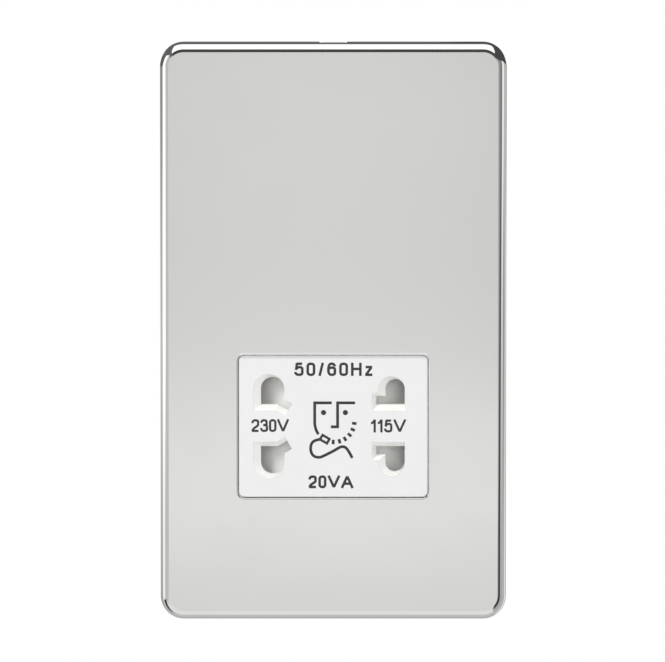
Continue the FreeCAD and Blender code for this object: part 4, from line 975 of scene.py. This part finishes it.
        # The right edge: dark, white and grey cards that come sooner lower down, then a white one
        # and the rim. A ramp holds no negative level, so sooner starts 9 degrees too high.
        sooner = nodes.ramp(z, [(-0.13, 23), (-0.11, 23), (-0.08, 10), (-0.066, 0), (-0.03, 0)])
        sooner = sooner - 9.0
        later = nodes.ramp(z, [(-0.13, 9), (-0.085, 9), (-0.07, 0), (-0.03, 0)])
        right_dark = nodes.ramp(z, [(-0.13, 0.04), (-0.11, 0.04), (-0.08, 0.09), (-0.066, 0.2),
                                    (-0.03, 0.2)])
        right_white = nodes.ramp(z, [(-0.13, 0.42), (-0.11, 0.42), (-0.08, 0.8), (-0.066, 1.0),
                                     (-0.03, 1.0)])
        right_grey = nodes.ramp(z, [(-0.13, 0.5), (-0.11, 0.5), (-0.08, 0.26), (-0.03, 0.17)])
        right_rim = nodes.ramp(z, [(-0.13, 0.3), (-0.08, 0.3), (-0.066, 0.03), (-0.03, 0.03)])
        right = nodes.cards(polar, face, [(5, 22, 0.3)])
        right = nodes.cards(polar + sooner, right, [
            (26, 32, right_dark), (49, 53, right_white), (76, 86, right_grey)])
        right = nodes.cards(polar - later, right, [(101, 106, 1.0), (122, 128, right_rim)])
        side = nodes.blend(on_right, left, right)

        # The upper edge: a dark line, a white card and the dim rear, with a dark patch between
        # it and each side at the corners.
        above = nodes.cards(polar, 0.06, [(35, 38, white), (120, 125, 0.13)])
        left_patch = nodes.ramp(polar, [(0, 27), (33, 27), (38, 37), (90, 28), (180, 24)])
        right_patch = nodes.ramp(polar, [(0, 17), (50, 16), (90, 10), (120, 3), (180, 3)])
        dark_from = nodes.blend(on_right, left_patch, right_patch)
        corner = nodes.blend(on_right, 0.13, 0.067)
        upper = nodes.cards(lateral - dark_from, side, [(-1.5, 1.5, corner)])
        upper = nodes.cards(lateral - polar * 0.235, upper, [(35.5, 38.5, above)])

        # The lower edge: grey, with a dark streak in the left corner.
        below = nodes.ramp(polar, [(0, 0.8), (56, 0.84), (62, 0.6), (95, 0.57), (100, 0.49),
                                   (180, 0.48)])
        turned = nodes.blend(on_right, nodes.step(down, 18, 48), nodes.step(down, 52, 64))
        streak = nodes.step(down, 13, 19) * (1 - nodes.step(down, 50, 68)) * (x < 0.0)
        streak = streak * nodes.step(polar - down * 0.5, 34, 42)
        streak = streak * (1 - nodes.step(polar, 80, 88))
        lower = nodes.blend(turned, side, below)
        lower = nodes.blend(streak, lower, 0.04)

        around = nodes.blend(z > 0.0, lower, upper)
        return nodes.blend(near, around, across)

    def camera(self, sizes):
        data = bpy.data.cameras.new("camera")
        data.sensor_width = 36.0
        data.lens = data.sensor_width * sizes.distance / sizes.across
        data.clip_start, data.clip_end = 0.1, 100.0
        camera = link("camera", data)
        aim = Vector((AIM_X, cad_box[0].y, AIM_Z))
        back = Vector((0.0, -math.cos(sizes.elevation), math.sin(sizes.elevation)))
        camera.location = aim + back * sizes.distance
        camera.rotation_euler = back.to_track_quat("Z", "Y").to_euler()
        return camera


class SHAVERSOCKET_PT_panel(bpy.types.Panel):
    """Sizes and steps of the shaver socket"""

    bl_idname = "SHAVERSOCKET_PT_panel"
    bl_label = "Shaver socket"
    bl_space_type = "VIEW_3D"
    bl_region_type = "UI"
    bl_category = "Shaver socket"

    def draw(self, context):
        for group, steps in (
            (context.scene.shaver_finishes, (SHAVERSOCKET_OT_finishes,)),
            (context.scene.shaver_coils, (SHAVERSOCKET_OT_springs, SHAVERSOCKET_OT_windings,
                                          SHAVERSOCKET_OT_joints)),
            (context.scene.shaver_print, (SHAVERSOCKET_OT_print,)),
            (context.scene.shaver_studio, (SHAVERSOCKET_OT_stage,)),
        ):
            box = self.layout.box()
            for name in group.bl_rna.properties.keys():
                if name not in ("rna_type", "name"):
                    box.prop(group, name)
            for step in steps:
                box.operator(step.bl_idname)


GROUPS = {
    "shaver_finishes": SHAVERSOCKET_PG_finishes,
    "shaver_coils": SHAVERSOCKET_PG_coils,
    "shaver_print": SHAVERSOCKET_PG_print,
    "shaver_studio": SHAVERSOCKET_PG_studio,
}
STEPS = (
    SHAVERSOCKET_OT_finishes, SHAVERSOCKET_OT_springs, SHAVERSOCKET_OT_windings,
    SHAVERSOCKET_OT_joints, SHAVERSOCKET_OT_print, SHAVERSOCKET_OT_stage,
)


def register():
    for made in (*GROUPS.values(), *STEPS, SHAVERSOCKET_PT_panel):
        bpy.utils.register_class(made)
    for name, group in GROUPS.items():
        setattr(bpy.types.Scene, name, bpy.props.PointerProperty(type=group))


def unregister():
    for name in GROUPS:
        delattr(bpy.types.Scene, name)
    for made in reversed((*GROUPS.values(), *STEPS, SHAVERSOCKET_PT_panel)):
        bpy.utils.unregister_class(made)


def main():
    register()
    bpy.ops.shaver_socket.finishes()
    bpy.ops.shaver_socket.springs()
    bpy.ops.shaver_socket.windings()
    bpy.ops.shaver_socket.joints()
    bpy.ops.shaver_socket.print()
    bpy.ops.shaver_socket.stage()


if __name__ == "__main__":
    main()
